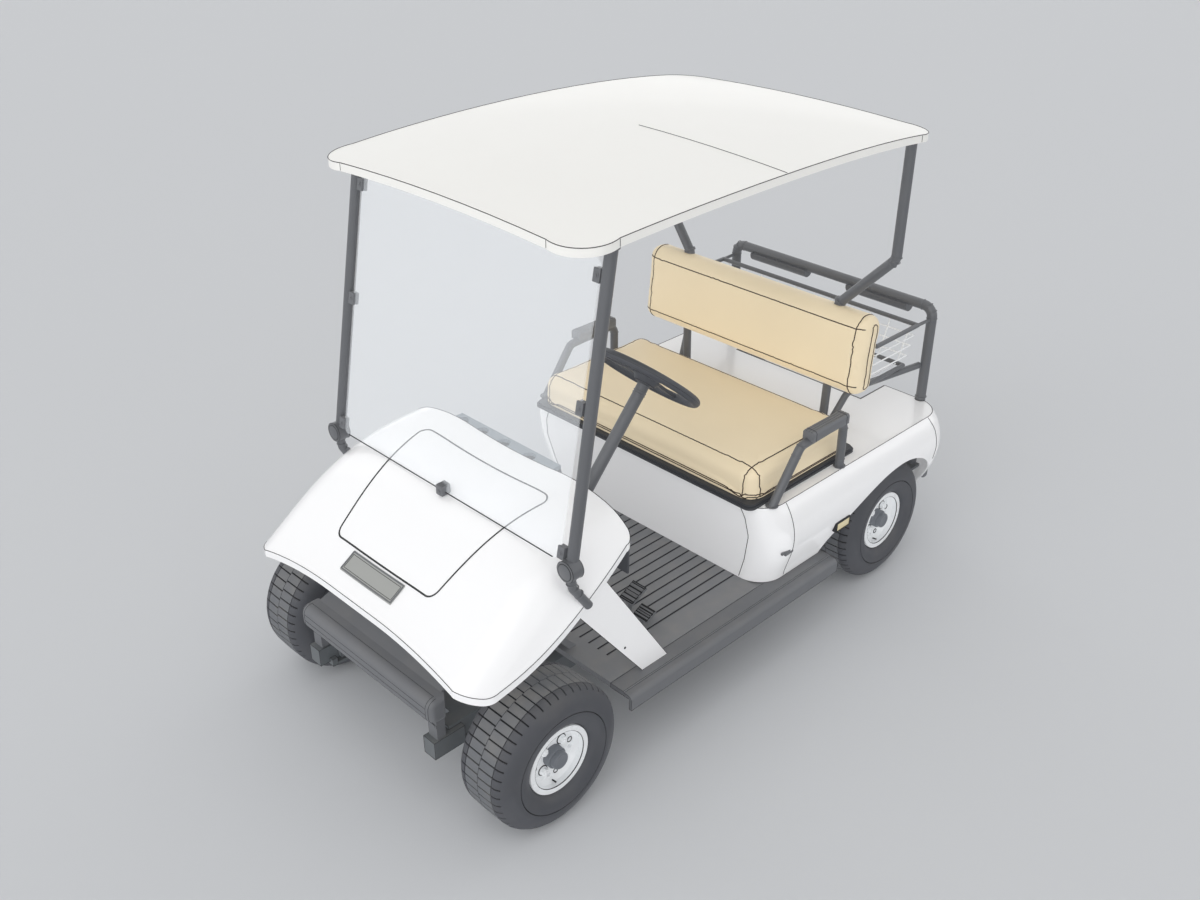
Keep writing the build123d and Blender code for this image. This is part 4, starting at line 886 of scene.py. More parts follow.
def make_tyres():
    """The four tyres, in place of their plain solids."""
    source = make_tyre()
    for corner in CORNERS:
        side = 1 if corner.endswith("left") else -1
        tyre = copied(source, middle(f"tyre_{corner}"), side)
        smooth(tyre, 28)
        done(tyre, f"tread_tyre_{corner}", f"wheel_{corner}", "tyre",
             *TYRE_COATS)
        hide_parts(f"tyre_{corner}")
    bpy.data.objects.remove(source)


# ---- wheel trim ---------------------------------------------------------------------
DISC_FACE = 52 * MM      # wheel centre to the disc's outer face
LUG_CIRCLE = 51 * MM
LUG_PLACES = [math.radians(45 + 90 * index) for index in range(4)]
VENT_TURN = math.radians(34.2)
VENT_CIRCLE = 69 * MM


def make_hub_cap():
    """A stepped dust cap with a flange and a turned end, about the Y axis."""
    start = DISC_FACE + 0.3 * MM
    profile = [(0, 0.0), (0, 34), (3, 34), (5, 33), (21, 33), (23, 31.5), (24, 27.5), (37, 27),
               (39.3, 25), (40, 21), (39, 19), (39, 0.0)]
    cap = lathe([(start + a * MM, r * MM) for a, r in profile], (0, 0, 0), (0, 1, 0), 48)
    return smooth(cap, 30)


def make_lugs():
    """Wheel nuts on their studs, and the rolled rings of the rim's face."""
    parts = []
    for angle in LUG_PLACES:
        x, z = LUG_CIRCLE * math.cos(angle), LUG_CIRCLE * math.sin(angle)
        parts.append(drum((x, DISC_FACE, z), (x, DISC_FACE + 3 * MM, z), 14 * MM, 0.8 * MM, 28))
        parts.append(drum((x, DISC_FACE + 2 * MM, z), (x, DISC_FACE + 15 * MM, z), 12.2 * MM,
                          1.2 * MM, 6))
        parts.append(drum((x, DISC_FACE + 14 * MM, z), (x, DISC_FACE + 18 * MM, z), 5 * MM,
                          0.8 * MM, 16))
    return smooth(merged(parts), 30)


def make_rim_shade_lines():
    """The dark line inside the rim's flange and round the disc, and the valve."""
    face = 85 * MM
    lines = [ring((0, face - 1.5 * MM, 0), (0, 1, 0), 92.9 * MM, 1.7 * MM, 72, 6),
             ring((0, DISC_FACE + 0.2 * MM, 0), (0, 1, 0), 84 * MM, 1.3 * MM, 72, 6)]
    valve = drum((8 * MM, 60 * MM, -86 * MM), (8 * MM, 76 * MM, -84 * MM), 2.6 * MM, 0.8 * MM, 14)
    for angle in LUG_PLACES:
        x, z = LUG_CIRCLE * math.cos(angle), LUG_CIRCLE * math.sin(angle)
        lines.append(ring((x, DISC_FACE + 0.4 * MM, z), (0, 1, 0), 15.6 * MM, 1.7 * MM, 28, 6))
        turn = angle + VENT_TURN
        x, z = VENT_CIRCLE * math.cos(turn), VENT_CIRCLE * math.sin(turn)
        lines.append(ring((x, DISC_FACE + 0.2 * MM, z), (0, 1, 0), 8.2 * MM, 1.6 * MM, 24, 6))
    return smooth(merged(lines + [valve]), 40)


def make_wheel_trim():
    """Hub caps, nuts and rim lines on the four wheels."""
    sources = ((make_hub_cap(), "dust_cap", "cap_plastic", "cap_plastic"),
               (make_lugs(), "wheel_nuts", "rim_paint", "rim_paint"),
               (make_rim_shade_lines(), "rim_lines", None, "gap"))
    for source, name, slot, coat in sources:
        for corner in CORNERS:
            side = 1 if corner.endswith("left") else -1
            piece = copied(source, middle(f"tyre_{corner}"), side)
            done(piece, f"{name}_{corner}", f"wheel_{corner}", slot, coat)
            if name == "dust_cap":
                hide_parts(f"hub_cap_{corner}")
        bpy.data.objects.remove(source)


# ---- cushions -----------------------------------------------------------------------
def stuffed(piece, pinned=None):
    """Remeshes a pad and lets its foam push the vinyl out."""
    seat = settings("cart_seat")
    apply_modifier(piece, "Remesh", "REMESH", mode="VOXEL", voxel_size=seat.voxel)
    start = [vertex.co.copy() for vertex in piece.data.vertices]
    cloth = piece.modifiers.new("Cloth", "CLOTH")
    cloth.settings.use_pressure = True
    cloth.settings.uniform_pressure_force = seat.pressure
    cloth.settings.effector_weights.gravity = 0
    if pinned:
        group = piece.vertex_groups.new(name="held")
        group.add([v.index for v in piece.data.vertices if pinned(v.co)], 1.0, "REPLACE")
        cloth.settings.vertex_group_mass = "held"
    scene = bpy.context.scene
    for step in range(1, 21):
        scene.frame_set(step)
    pick(piece)
    bpy.ops.object.modifier_apply(modifier="Cloth")
    scene.frame_set(1)
    for vertex, origin in zip(piece.data.vertices, start):
        move = vertex.co - origin
        if move.length > seat.swell:
            vertex.co = origin + move * (seat.swell / move.length)
    return piece


def tuck_in(piece, seams):
    """Pulls the vinyl in along its seams."""
    seat = settings("cart_seat")
    reach = 9 * MM
    points = [point for seam in seams for point in seam]
    tree = kdtree.KDTree(len(points))
    for index, point in enumerate(points):
        tree.insert(point, index)
    tree.balance()
    moves = []
    for vertex in piece.data.vertices:
        distance = tree.find(vertex.co)[2]
        if distance < reach:
            moves.append((vertex.index, vertex.normal * (1 - (distance / reach) ** 2) ** 2))
    for index, normal in moves:
        piece.data.vertices[index].co -= normal * seat.tuck


def sew(piece, seams, name, body):
    """Sewn piping along seams: tucks the vinyl in and lays the beads on it."""
    seat = settings("cart_seat")
    places = [nearest(piece, seam) for seam in seams]
    tuck_in(piece, places)
    beads = [bead(nearest(piece, place), seat.piping) for place in places]
    return fitted(beads, name, "seat_vinyl", "thread", 60, body)


def arc_between(centre, first, second, steps=10):
    """A quarter of an ellipse from centre + first to centre + second."""
    centre, first, second = Vector(centre), Vector(first), Vector(second)
    turns = [math.pi / 2 * index / steps for index in range(steps + 1)]
    return [centre + first * math.cos(t) + second * math.sin(t) for t in turns]


SEAM_REACH = 12 * MM     # how far outside a cushion its seams are laid down from
CUSHION_EDGE = 42 * MM
CUSHION_CORNER = 58 * MM


def quarter(sign_a, sign_b, steps=10):
    """A corner's quarter turn, clockwise, as pairs of shares of its radius."""
    turns = [math.pi / 2 * index / steps for index in range(steps + 1)]
    if sign_a * sign_b > 0:
        turns.reverse()
    return [(sign_a * math.cos(turn), sign_b * math.sin(turn)) for turn in turns]


def make_seat_cushion():
    """The bench cushion: a flat-topped pad with piping round its top and foot."""
    seat = settings("cart_seat")
    low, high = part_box("seat_cushion")
    inset = seat.swell * 0.8
    bottom = low.z + 0.2 * MM
    bpy.ops.mesh.primitive_cube_add(size=1)
    cushion = bpy.context.object
    cushion.scale = (high.x - low.x - 2 * inset, high.y - low.y - 2 * inset,
                     high.z - inset - bottom)
    cushion.location = ((low.x + high.x) / 2, 0, (bottom + high.z - inset) / 2)
    settle()
    ends = cushion.data.vertices

    def upright(edge):
        first, second = (ends[i].co for i in edge.vertices)
        return abs(first.z - second.z) > 0.05

    def around(level):
        def test(edge):
            return all(abs(ends[i].co.z - level) < 1 * MM for i in edge.vertices)
        return test

    for test, width, segments in ((upright, CUSHION_CORNER, 6),
                                  (around(high.z - inset), CUSHION_EDGE, 6),
                                  (around(bottom), 8 * MM, 3)):
        select_where(cushion, test, "edges")
        edit_selected(cushion, "EDGE")
        bpy.ops.mesh.bevel(offset=width, segments=segments, affect="EDGES")
        leave()
        ends = cushion.data.vertices
    stuffed(cushion, lambda place: place.z < bottom + 3 * MM)
    smooth(cushion, 60)
    x_front, x_rear, y = high.x - CUSHION_EDGE, low.x + CUSHION_EDGE, high.y - CUSHION_EDGE
    top, out = high.z + 4 * MM, SEAM_REACH
    seams = [[(x_front, -y, top), (x_front, y, top), (x_rear, y, top), (x_rear, -y, top),
              (x_front, -y, top)]]
    foot = low.z + 10 * MM
    for side in (1, -1):
        corner = Vector((x_front, side * y, high.z - CUSHION_EDGE))
        rise = Vector((0, 0, CUSHION_EDGE + 4 * MM))
        reach = CUSHION_EDGE + out
        for way in ((reach, 0, 0), (0, side * reach, 0)):
            seam = arc_between(corner, rise, way)
            seams.append(seam + [seam[-1] - Vector((0, 0, seam[-1].z - foot))])
    bend, y_out = CUSHION_CORNER, high.y + out
    for level in (11 * MM, 20 * MM):
        height = low.z + level
        loop = [(low.x - out, -y_out + bend, height), (low.x - out, y_out - bend, height)]
        for sign_x, sign_y in ((-1, 1), (1, 1), (1, -1), (-1, -1)):
            x = high.x - bend if sign_x > 0 else low.x + bend
            loop += [(x + a * (bend + out), sign_y * (high.y - bend) + b * (bend + out), height)
                     for a, b in quarter(sign_x, sign_y)]
        seams.append(loop)
    done(cushion, "seat_pad", "seat_lid", "seat_vinyl", "seat_vinyl")
    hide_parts("seat_cushion")
    sew(cushion, seams, "seat_piping", "seat_lid")


BACK_CENTRE = (-664, 0, 935)
BACK_HALF = (56, 500, 150)
BACK_EDGE = 45 * MM
BACK_END = (17 * MM, 128 * MM, 17 * 1.6 * MM)     # half width, half height and corner height
BACK_LEAN = math.radians(5)


def make_backrest():
    """The leaning back cushion with piping along its long edges and round its ends."""
    seat = settings("cart_seat")
    centre, half = at(*BACK_CENTRE), Vector(BACK_HALF) * MM
    inset = seat.swell * 0.8
    bpy.ops.mesh.primitive_cube_add(size=2)
    back = bpy.context.object
    back.scale = half - Vector((inset, inset, inset))
    settle()
    apply_modifier(back, "Round", "BEVEL", width=BACK_EDGE, segments=6, limit_method="NONE")
    back.rotation_euler = (0, -BACK_LEAN, 0)
    back.location = centre
    settle()
    stuffed(back)
    smooth(back, 60)
    forward = Vector((math.cos(BACK_LEAN), 0, math.sin(BACK_LEAN)))
    rise = Vector((-math.sin(BACK_LEAN), 0, math.cos(BACK_LEAN)))
    x_in, y_in, z_in = half.x - BACK_EDGE, half.y - BACK_EDGE, half.z - BACK_EDGE
    out = SEAM_REACH

    def place(x, y, z):
        return centre + forward * x + Vector((0, y, 0)) + rise * z

    seams = []
    for sign in (1, -1):
        for face in (1, -1):
            seams.append([place(face * (half.x + out), y, sign * z_in)
                          for y in (-half.y - out, half.y + out)])
    for side in (1, -1):
        loop, end = [], []
        for sign_x, sign_z in ((1, 1), (1, -1), (-1, -1), (-1, 1)):
            turn = quarter(sign_x, sign_z)
            loop += [place(sign_x * x_in + a * (BACK_EDGE + out), side * y_in,
                           sign_z * z_in + b * (BACK_EDGE + out)) for a, b in turn]
            end += [place(a * BACK_END[0], side * (half.y + out),
                          sign_z * (BACK_END[1] - BACK_END[2]) + b * BACK_END[2])
                    for a, b in turn]
        seams += [loop + [loop[0]], end + [end[0]]]
    done(back, "back_pad", "chassis", "seat_vinyl", "seat_vinyl")
    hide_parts("backrest")
    sew(back, seams, "back_piping", "chassis")


# ---- armrests -----------------------------------------------------------------------
DECK_TOP = 611           # top of the rear body, where the tubes stand
PAD_RIBS = 4
PAD_INNER = 509 * MM
ARM_TUBE = 15 * MM
ARM_MIDDLE = 527 * MM


def make_armrests():
    """Boxy pads ribbed lengthwise, and collars where the tubes meet them."""
    low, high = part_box("armrest_pads")
    for name, side in SIDES.items():
        inner, outer = PAD_INNER, high.y
        width = outer - inner
        pitch = width / (PAD_RIBS + 0.4)
        section = [(0, inner, low.z), (0, inner, high.z - 7 * MM), (0, inner + 5 * MM, high.z)]
        for index in range(1, PAD_RIBS):
            y = inner + 0.2 * pitch + index * pitch
            section += [(0, y - 1.2 * MM, high.z), (0, y - 0.6 * MM, high.z - 2.2 * MM),
                        (0, y + 0.6 * MM, high.z - 2.2 * MM), (0, y + 1.2 * MM, high.z)]
        section += [(0, outer - 5 * MM, high.z), (0, outer, high.z - 7 * MM), (0, outer, low.z)]
        section = [(x, side * y, z) for x, y, z in section]
        pad = profile_bar(section, (low.x, 0, 0), (high.x - low.x, 0, 0), 0.8 * MM)
        fitted([pad], f"armrest_pad_{name}", "dark_plastic", degrees=30)
        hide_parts("armrest_pads")
        # Painted shade: thin dark beads in the pads' rib grooves and round their ends.
        lines = []
        for index in range(1, PAD_RIBS):
            y = side * (inner + 0.2 * pitch + index * pitch)
            lines.append(bead([(low.x, y, high.z - 2 * MM), (high.x, y, high.z - 2 * MM)],
                              0.9 * MM))
        for x in (low.x + 14 * MM, high.x - 14 * MM):
            lines.append(bead([(x, side * (inner + 4 * MM), high.z + 0.1 * MM),
                               (x, side * (outer - 5 * MM), high.z + 0.1 * MM),
                               (x, side * outer, high.z - 7 * MM), (x, side * outer, low.z)],
                              0.9 * MM))
        lined(lines, f"armrest_lines_{name}")
        y = side * ARM_MIDDLE
        collars = []
        for x, z, way in ((-262, 777, (-132, 0, 177)), (-240, 748, (-132, 0, 177)),
                          (-489, 755, (0, 0, 1)), (-489, 640, (0, 0, 1))):
            collars.append(ring(at(x, 0, z) + Vector((0, y, 0)), way, ARM_TUBE, 1.6 * MM, 32,
                                6))
        for x in (-135, -489):
            foot = at(x, 0, DECK_TOP)
            foot.y = y
            collars.append(drum(foot, foot + up(4), 21 * MM, 1.2 * MM))
        fitted(collars, f"armrest_collars_{name}", "tube_paint")


# ---- painted shade lines on the panels ----------------------------------------------
def body_section(height):
    """Front x, rear x and half width of the rear body at a height, in millimetres."""
    rows = ((285, -130, -1108, 517), (380, -112, -1127, 550), (490, -93, -1130, 575),
            (560, -82, -1117, 566), (610, -75, -1094, 543))
    for (z0, *first), (z1, *second) in zip(rows, rows[1:]):
        if height <= z1:
            part = (height - z0) / (z1 - z0)
            return [a + part * (b - a) for a, b in zip(first, second)]
    return rows[-1][1:]


def make_body_shade_lines():
    """The deck's edge line and the mould lines at the body's corners."""
    trim = settings("cart_trim")
    shell = NODES["body_shell"]
    beads = [edge_beads("body_shell", lambda edge, a, b: max(a.z, b.z) > 0.95
                        and min(a.z, b.z) < 0.8, trim.seam)]
    levels = list(range(292, 609, 12)) + [608]
    bend = 100
    for side in (1, -1):
        flank, face, rear = [], [], []
        for z in levels:
            front_x, rear_x, half = body_section(z)
            flank.append(at(front_x - bend - 10, side * half, z))
            face.append(at(front_x, side * (half - bend), z))
            if z > 430:
                rear.append(at(rear_x + bend, side * half, z))
        beads.append(bead(cast(shell, flank, (0, -side, 0)), trim.seam))
        beads.append(bead(cast(shell, face, (-1, 0, 0)), trim.seam))
        beads.append(bead(cast(shell, rear, (0, -side, 0)), trim.seam))
    lined(beads, "body_seams")


def make_nose_shade_lines():
    """The cowl's lip line, the seal round its hatch and the mark of its leg panels."""
    trim = settings("cart_trim")
    lip = edge_beads("cowl", rim_edge(), trim.seam)
    lined([lip], "cowl_lip_line")
    # Painted shadow: a dark bead in the gap round the hatch.
    shadow_bead = edge_beads("cowl_hatch", rim_edge(), trim.gap)
    lined([shadow_bead], "hatch_seal")
    legs = edge_beads("cowl_legs", sharp_edge(40), 0.6 * MM)
    plugs = []
    for side in (1, -1):
        place = at(517, side * 522, 410)
        plugs.append(drum(place, place + Vector((0, side * 1.2 * MM, 0)), 4 * MM, 0.4 * MM, 16))
    lined([legs] + plugs, "leg_panel_lines")


def make_roof_shade_lines():
    """The roof's lip line, its mould seam and the ticks at its corners."""
    trim = settings("cart_trim")
    roof = NODES["roof"]
    beads = [edge_beads("roof", rim_edge(), trim.seam)]
    beads.append(bead(cast(roof, [at(-55, 0, 1726), at(-55, 548, 1703)], (0, 0, -1)), trim.seam))
    for side in (1, -1):
        for x, y, way in ((703, 425, (-1, 0, 0)), (575, 546, (0, -side, 0)),
                          (-740, 530, (0, -side, 0)), (-838, 400, (1, 0, 0))):
            corner = at(x, side * y, 0)
            above = corner + Vector(way) * 3 * MM + Vector((0, 0, 3))
            hit, top, _, _ = roof.ray_cast(above, (0, 0, -1))
            if hit:
                run = [Vector((corner.x, corner.y, top.z - drop * MM)) for drop in (2, 22)]
                beads.append(bead(cast(roof, run, way, 0.05), trim.seam * 0.8))
    lined(beads, "roof_seams")


EDGE_SHADE_LINE = 0.7 * MM


def make_edge_shade_lines():
    """Edge lines of the rockers, the bumpers, the seat board and the frame's horns."""
    lined([edge_beads("rocker_panels", sharp_edge(12), EDGE_SHADE_LINE)], "rocker_lines")
    bumper = NODES["front_bumper"]
    lines, reach = [], 300
    for z in (384, 362, 338):
        run = [at(1078, -reach, z), at(1078, reach, z)]
        lines.append(bead(cast(bumper, run, (-1, 0, 0)), EDGE_SHADE_LINE))
    run = [at(1046, -reach, 410), at(1046, reach, 410)]
    lines.append(bead(cast(bumper, run, (0, 0, -1)), EDGE_SHADE_LINE))
    for side in (1, -1):
        for inset in (22, 1):
            y = side * (322 - inset)
            arc = [at(1046 + 60 * math.cos(math.radians(a)), y,
                      368 + 70 * math.sin(math.radians(a))) for a in range(-80, 91, 10)]
            lines.append(bead(nearest(bumper, arc), EDGE_SHADE_LINE))
    lined(lines, "bumper_lines")
    lined([edge_beads("seat_board", sharp_edge(50), EDGE_SHADE_LINE)], "board_lines", "seat_lid")
    ends = edge_beads("frame", lambda edge, a, b: a.dot(b) < 0.5
                      and min(v.co.x for v in edge.verts) > at(930, 0, 0).x, 0.8 * MM)
    lined([ends], "horn_lines")


# ---- front fittings -----------------------------------------------------------------
def make_nameplate():
    """The bevelled frame of the blank plate at the nose."""
    plate = NODES["nameplate"]
    low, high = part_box("nameplate")
    beads = []
    for inset, radius, lift in ((2.6, 2.4, 0.4), (8.5, 0.8, 0.0)):
        x0, x1 = low.x + inset * MM, high.x - inset * MM
        y1 = high.y - inset * MM
        loop = [(x0, -y1, 1), (x0, y1, 1), (x1, y1, 1), (x1, -y1, 1), (x0, -y1, 1)]
        places = [place + up(lift) for place in cast(plate, loop, (0, 0, -1), 0.1)]
        beads.append(bead(places, radius * MM, 2))
    fitted(beads[:1], "plate_frame", "dark_plastic", degrees=50)
    lined(beads[1:], "plate_line")


def make_strut_fittings():
    """Clamp faces and elbow rings at the front struts, and the windshield's edge."""
    parts, lines = [], []
    for side in (1, -1):
        hub = at(739, side * 533, 804)
        for way in (1, -1):
            face = hub + Vector((way * 21 * MM, 0, 0))
            parts.append(lathe([(0, 24 * MM), (1.6 * MM, 23 * MM), (2.4 * MM, 20 * MM),
                                (2.4 * MM, 0.0)], face, (way, 0, 0), 36))
            parts.append(ring(hub + Vector((way * 19 * MM, 0, 0)), (1, 0, 0), 30.5 * MM,
                              1.4 * MM, 40, 6))
            # Painted shade: thin dark rings along the edges of the clamp faces.
            for shift, radius in ((21.4, 24.5), (19.4, 31.2)):
                lines.append(ring(hub + Vector((way * shift * MM, 0, 0)), (1, 0, 0),
                                  radius * MM, 1.0 * MM, 48, 6))
        for x, y, z, lean in ((739, 533, 774, (0, 0, 1)), (737, 533.6, 757, (0.1, 0, 1)),
                              (730, 536, 739, (0.5, -side * 0.1, 1)),
                              (717, 541, 716, (0.7, -side * 0.2, 1))):
            parts.append(ring(at(x, side * y, z), lean, 13.4 * MM, 1.8 * MM, 28, 6))
        collar = at(574, side * 520, 1668)
        parts.append(drum(collar - up(16), collar + up(4),
                          19.5 * MM, 1.5 * MM))
    fitted(parts, "strut_fittings", "tube_paint")
    lined(lines, "strut_lines")
    foot_low, foot_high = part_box("windshield")
    y = foot_high.y - 26 * MM
    strip = bead([(foot_high.x, -y, foot_low.z + 2 * MM), (foot_high.x, y, foot_low.z + 2 * MM)],
                 1.8 * MM, 2)
    fitted([strip], "windshield_seal", "dark_plastic", "gap", 50)
    centre = at(742, 0, 822)
    size = Vector((17, 14, 16)) * MM
    block = slab(centre - size, centre + size, 2.5 * MM)
    ribs = [slab(centre + Vector((-15 * MM, y - 1.2 * MM, 14 * MM)),
                 centre + Vector((15 * MM, y + 1.2 * MM, 19 * MM)), 0.5 * MM)
            for y in (-9 * MM, -3 * MM, 3 * MM, 9 * MM)]
    cheeks = [drum(centre + Vector((way * 16 * MM, 0, -4 * MM)),
                   centre + Vector((way * 20 * MM, 0, -4 * MM)), 8 * MM, 1 * MM)
              for way in (1, -1)]
    fitted([block] + ribs + cheeks, "windshield_latch", "dark_plastic")
    screws = []
    for height, x in ((843, 736.5), (1243, 658.5), (1582, 592)):
        for side in (1, -1):
            climb = (height - 775) / (1690 - 775)
            y = 533 + climb * (520 - 533) - 29.5
            way = Vector((0.98, 0, 0.19))
            for face in (1, -1):
                start = at(x, side * y, height) + way * (face * 10 * MM)
                screws.append(bolt(start, way * face, 4.5 * MM, 3.5 * MM))
    fitted(screws, "clip_screws", "chassis_paint", "dark_plastic")


def make_side_clips():
    """The small hook clips on the body's flanks, and the reflectors."""
    parts = []
    for side in (1, -1):
        place = at(-189, side * 562, 425)
        size = Vector((12, 5, 9)) * MM
        parts.append(slab(place - size, place + size, 1.6 * MM, 2))
        for shift in (-20, 20):
            spot = place + Vector((shift * MM, 0, shift * 0.25 * MM))
            tip = Vector((9, 4, 4)) * MM
            parts.append(slab(spot - tip, spot + tip, 1.2 * MM, 2))
    fitted(parts, "body_side_clips", "dark_plastic")
    make_reflectors()


SHELL_RIM = 3.2 * MM
SHELL_SLOPE = 0.6 * MM
SHELL_WELL = 2.2 * MM
LENS_INSET = 4.6 * MM
LENS_DEPTH = 1.4 * MM


def make_reflectors():
    """Upright housings with a bevelled lens, in place of the plain reflectors."""
    low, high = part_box("reflectors")
    for name, side in SIDES.items():
        x0, x1, z0, z1 = low.x, high.x, low.z - 5 * MM, high.z + 4 * MM
        inner, outer = (high.y - 15 * MM) * side, (high.y + 3 * MM) * side
        near, far = sorted((inner, outer))
        shell = slab((x0, near, z0), (x1, far, z1), 2 * MM)
        select_where(shell, lambda face: face.normal.y * side > 0.9 and face.area > 0.0005)
        edit_selected(shell)
        bpy.ops.mesh.inset(thickness=SHELL_RIM, depth=0)
        bpy.ops.mesh.inset(thickness=SHELL_SLOPE, depth=-SHELL_WELL)
        leave()
        fitted([shell], f"reflector_shell_{name}", "dark_plastic", "gap", 30)
        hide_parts("reflectors")
        edge, face = LENS_INSET, outer - side * LENS_DEPTH
        near, far = sorted((face, face - side * 3 * MM))
        lens = slab((x0 + edge, near, z0 + edge), (x1 - edge, far, z1 - edge), 1.2 * MM)
        fitted([lens], f"reflector_lens_{name}", "reflector", degrees=30)
        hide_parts("reflectors")


# ---- steering and pedals ------------------------------------------------------------
def joint(name):
    """A joint of the frame by its name."""
    return next(entry for entry in frame["joints"] if entry["name"] == name)


def make_steering_trim():
    """Hub boss and finger ridges of the steering wheel, and the column's collars."""
    entry = joint("steering_turn")
    head, axis = Vector(entry["pos_m"]), Vector(entry["axis"]).normalized()
    lift = axis * 30.5 * MM
    boss = lathe([(0, 33 * MM), (3 * MM, 33 * MM), (7 * MM, 29 * MM), (10 * MM, 18 * MM),
                  (11 * MM, 0.0)], head + lift - axis * 2 * MM, axis, 40)
    skirt = lathe([(0, 34 * MM), (14 * MM, 44 * MM), (17 * MM, 44 * MM), (18 * MM, 30 * MM)],
                  head + axis * 3 * MM, axis, 40)
    fitted([boss, skirt], "steering_boss", "grip_plastic", body="steering_wheel")
    centre = head + axis * 21.5 * MM
    # Painted shade: two thin dark rings along the edges of the wheel's rim.
    seams = [ring(centre - axis * drop * MM, axis, reach * MM, 1.0 * MM, 96, 6)
             for drop, reach in ((-9.5, 166), (1.5, 174.2))]
    fitted(seams, "wheel_rim_seams", "grip_plastic", "gap", 60, "steering_wheel")
    collars = [ring(head - axis * along * MM, axis, 19.2 * MM, 1.8 * MM, 32, 6)
               for along in (4, 26, 34)]
    fitted(collars, "column_collars", "tube_paint", degrees=40)


# x, y, z of each pad's middle, its length and width and its tilt in degrees
PEDAL_PADS = ((253, 301, 355, 72, 58, -27), (268, 366, 318, 46, 60, -27))


def make_pedal_trim():
    """Rubber ribs and edge frames on the two pedals."""
    parts = []
    for x, y, z, long, wide, tilt in PEDAL_PADS:
        angle = math.radians(tilt)
        along = Vector((math.cos(angle), 0, math.sin(angle)))
        top = at(x, y, z) + Vector((-math.sin(angle), 0, math.cos(angle))) * 4.2 * MM
        half_long, half_wide = long / 2 * MM, wide / 2 * MM
        corners = [(1, 1), (1, -1), (-1, -1), (-1, 1), (1, 1)]
        rim = [top + along * (a * (half_long - 2 * MM)) + Vector((0, b * (half_wide - 2 * MM), 0))
               for a, b in corners]
        parts.append(bead(rim, 2.4 * MM))
        for index in range(5):
            spot = top + along * ((index - 2) * half_long * 0.38)
            reach = Vector((0, half_wide - 3 * MM, 0))
            parts.append(bead([spot - reach, spot + reach], 2.6 * MM))
    fitted(parts, "pedal_rubbers", "dark_plastic", "groove", 50)


# ---- rear fittings ------------------------------------------------------------------
def make_rear_fittings():
    """Elbow rings of the rack and struts, ferrules and feet."""
    parts = []
    rack_x, rack_y, top = -1096, 447, 970
    for side in (1, -1):
        for y, z, way in ((rack_y, top - 40, (0, 0, 1)),
                          (rack_y - 4, top - 17, (0, -0.5 * side, 1)),
                          (rack_y - 17, top - 4, (0, -side, 0.5)),
                          (rack_y - 40, top, (0, 1, 0))):
            parts.append(ring(at(rack_x, side * y, z), way, 18.2 * MM, 1.5 * MM, 32, 6))
        parts.append(ring(at(rack_x, side * rack_y, 622), (0, 0, 1), 18.2 * MM, 3 * MM, 32, 8))
        ferrule = at(-684, side * 332, 1079)
        parts.append(drum(ferrule, ferrule + Vector((-1 * MM, side * 6 * MM, 8 * MM)), 21 * MM,
                          1.5 * MM))
        for x, y, z, way in ((-713, 497, 1256, (-0.16, 0.92, 1)), (-715, 505, 1266, (-0.1, 0.5, 1)),
                             (-716, 508, 1278, (-0.05, 0.1, 1))):
            parts.append(ring(at(x, side * y, z), way, 17.4 * MM, 1.5 * MM, 32, 6))
        for x, y, height, radius, bevel in ((-673, 318, 5, 24, 1.2), (-653, 341, 4, 19, 1)):
            foot = at(x, side * y, DECK_TOP)
            parts.append(drum(foot, foot + up(height), radius * MM, bevel * MM))
    fitted(parts, "tube_fittings", "tube_paint")


# ---- underside and batteries --------------------------------------------------------
SPRING_Y = 270


def make_underside():
    """Spring clamps, leaf lines, axle bolts and the motor's ribs."""
    parts = []
    for side in (1, -1):
        y = side * SPRING_Y
        for x, z, width in ((838, 188, 46), (-838, 190, 46)):
            for shift in (-width / 2 - 7, width / 2 + 7):
                for edge in (-26, 26):
                    start = at(x + shift, y + edge, z - 22)
                    parts.append(drum(start, start + up(62), 5 * MM, 1 * MM, 16))
                parts.append(slab(at(x + shift - 6, y - 32, z + 34),
                                  at(x + shift + 6, y + 32, z + 40), 1 * MM, 2))
    low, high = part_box("drive_motor")
    centre = middle("drive_motor")
    for index in range(3):
        x = low.x + (high.x - low.x) * (0.08 + 0.42 * index)
        parts.append(ring((x, centre.y, centre.z), (1, 0, 0), (high.z - low.z) / 2, 3 * MM, 48,
                          8))
    fitted(parts, "underside_clamps", "chassis_paint")


BATTERY_COLUMNS = 3
BATTERY_ROWS = 2


def make_batteries():
    """Six battery lids with their filler caps and posts, under the seat."""
    low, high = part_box("battery_pack")
    lids, posts = [], []
    long, wide = (high.x - low.x) / BATTERY_ROWS, (high.y - low.y) / BATTERY_COLUMNS
    for row in range(BATTERY_ROWS):
        for column in range(BATTERY_COLUMNS):
            corner = Vector((low.x + row * long, low.y + column * wide, high.z))
            gap = 3 * MM
            lids.append(slab(corner + Vector((gap, gap, 0.2 * MM)),
                             corner + Vector((long - gap, wide - gap, 14 * MM)), 3 * MM, 2))
            for index in range(3):
                spot = corner + Vector((long * (0.3 + 0.2 * index), wide / 2, 14 * MM))
                lids.append(drum(spot - up(2), spot + up(8), 14 * MM,
                                 2 * MM, 24))
            for end in (0.12, 0.88):
                spot = corner + Vector((long * end, wide * 0.2, 12 * MM))
                posts.append(drum(spot, spot + up(16), 8 * MM, 1.5 * MM, 20))
    fitted(lids, "battery_lids", "battery_case")
    fitted(posts, "battery_posts", "chassis_paint", "steel")


# ---- operators ----------------------------------------------------------------------
def operator(name, label, text, *works):
    """An operator class that runs these building functions in order."""
    def execute(self, context):
        for work in works:
            work()
        return {"FINISHED"}
    return type("CART_OT_" + name, (bpy.types.Operator,), {
        "__doc__": text, "bl_idname": "cart." + name, "bl_label": label,
        "bl_options": {"REGISTER", "UNDO"}, "execute": execute})


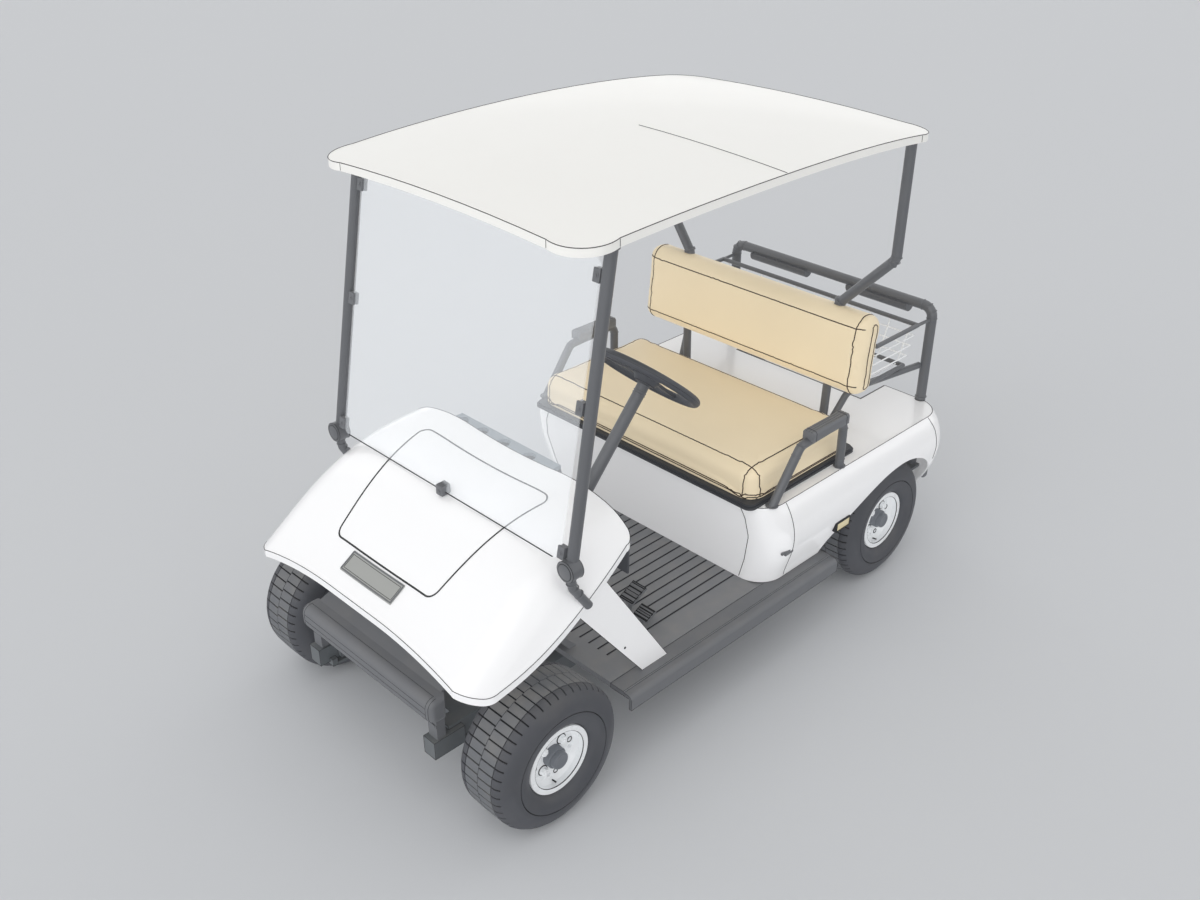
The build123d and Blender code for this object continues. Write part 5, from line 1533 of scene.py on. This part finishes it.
OPERATORS = (
    operator("stage", "Stage", "Adds the camera, floor and lights", make_stage),
    operator("finishes", "Finishes", "Makes the materials and dresses the frame's nodes",
             make_finishes, dress_nodes),
    operator("tyres", "Tyres", "Builds the four tyres with their tread", make_tyres),
    operator("wheel_trim", "Wheel trim", "Adds hub caps, nuts and rim lines", make_wheel_trim),
    operator("seat", "Seat", "Builds the bench cushion and its piping", make_seat_cushion),
    operator("backrest", "Backrest", "Builds the back cushion and its piping", make_backrest),
    operator("armrests", "Armrests", "Builds the ribbed pads and tube collars", make_armrests),
    # The panel seams are thin dark beads, painted shade along the body's, cowl's and roof's creases
    # and edges.
    operator("seams", "Panel seams", "Marks the seams of the body, cowl and roof",
             make_body_shade_lines, make_nose_shade_lines, make_roof_shade_lines, make_edge_shade_lines),
    operator("front", "Front fittings", "Adds the plate frame, strut fittings and clips",
             make_nameplate, make_strut_fittings, make_side_clips),
    operator("steering", "Steering", "Details the steering wheel and the pedals",
             make_steering_trim, make_pedal_trim),
    operator("rear", "Rear fittings", "Adds the rings and feet of the rear tubes",
             make_rear_fittings),
    operator("underside", "Underside", "Adds clamps, motor ribs and battery lids",
             make_underside, make_batteries),
)


class CART_PT_panel(bpy.types.Panel):
    """Lists the cart's operators and settings"""
    bl_label = "Golf cart"
    bl_idname = "CART_PT_panel"
    bl_space_type = "VIEW_3D"
    bl_region_type = "UI"
    bl_category = "Cart"

    def draw(self, context):
        for entry in OPERATORS:
            self.layout.operator(entry.bl_idname)
        for name, group in SETTINGS.items():
            box = self.layout.box()
            for key in group.__annotations__:
                box.prop(getattr(context.scene, name), key)


def register():
    for group in SETTINGS.values():
        bpy.utils.register_class(group)
    for name, group in SETTINGS.items():
        setattr(bpy.types.Scene, name, bpy.props.PointerProperty(type=group))
    for entry in OPERATORS + (CART_PT_panel,):
        bpy.utils.register_class(entry)


def unregister():
    for entry in (CART_PT_panel,) + OPERATORS[::-1]:
        bpy.utils.unregister_class(entry)
    for name, group in SETTINGS.items():
        delattr(bpy.types.Scene, name)
        bpy.utils.unregister_class(group)


def main():
    """Builds the whole cart and writes the two boxes."""
    register()
    deselect()
    for entry in OPERATORS:
        getattr(bpy.ops.cart, entry.bl_idname.split(".")[1])()
    deselect()


if __name__ == "__main__":
    main()
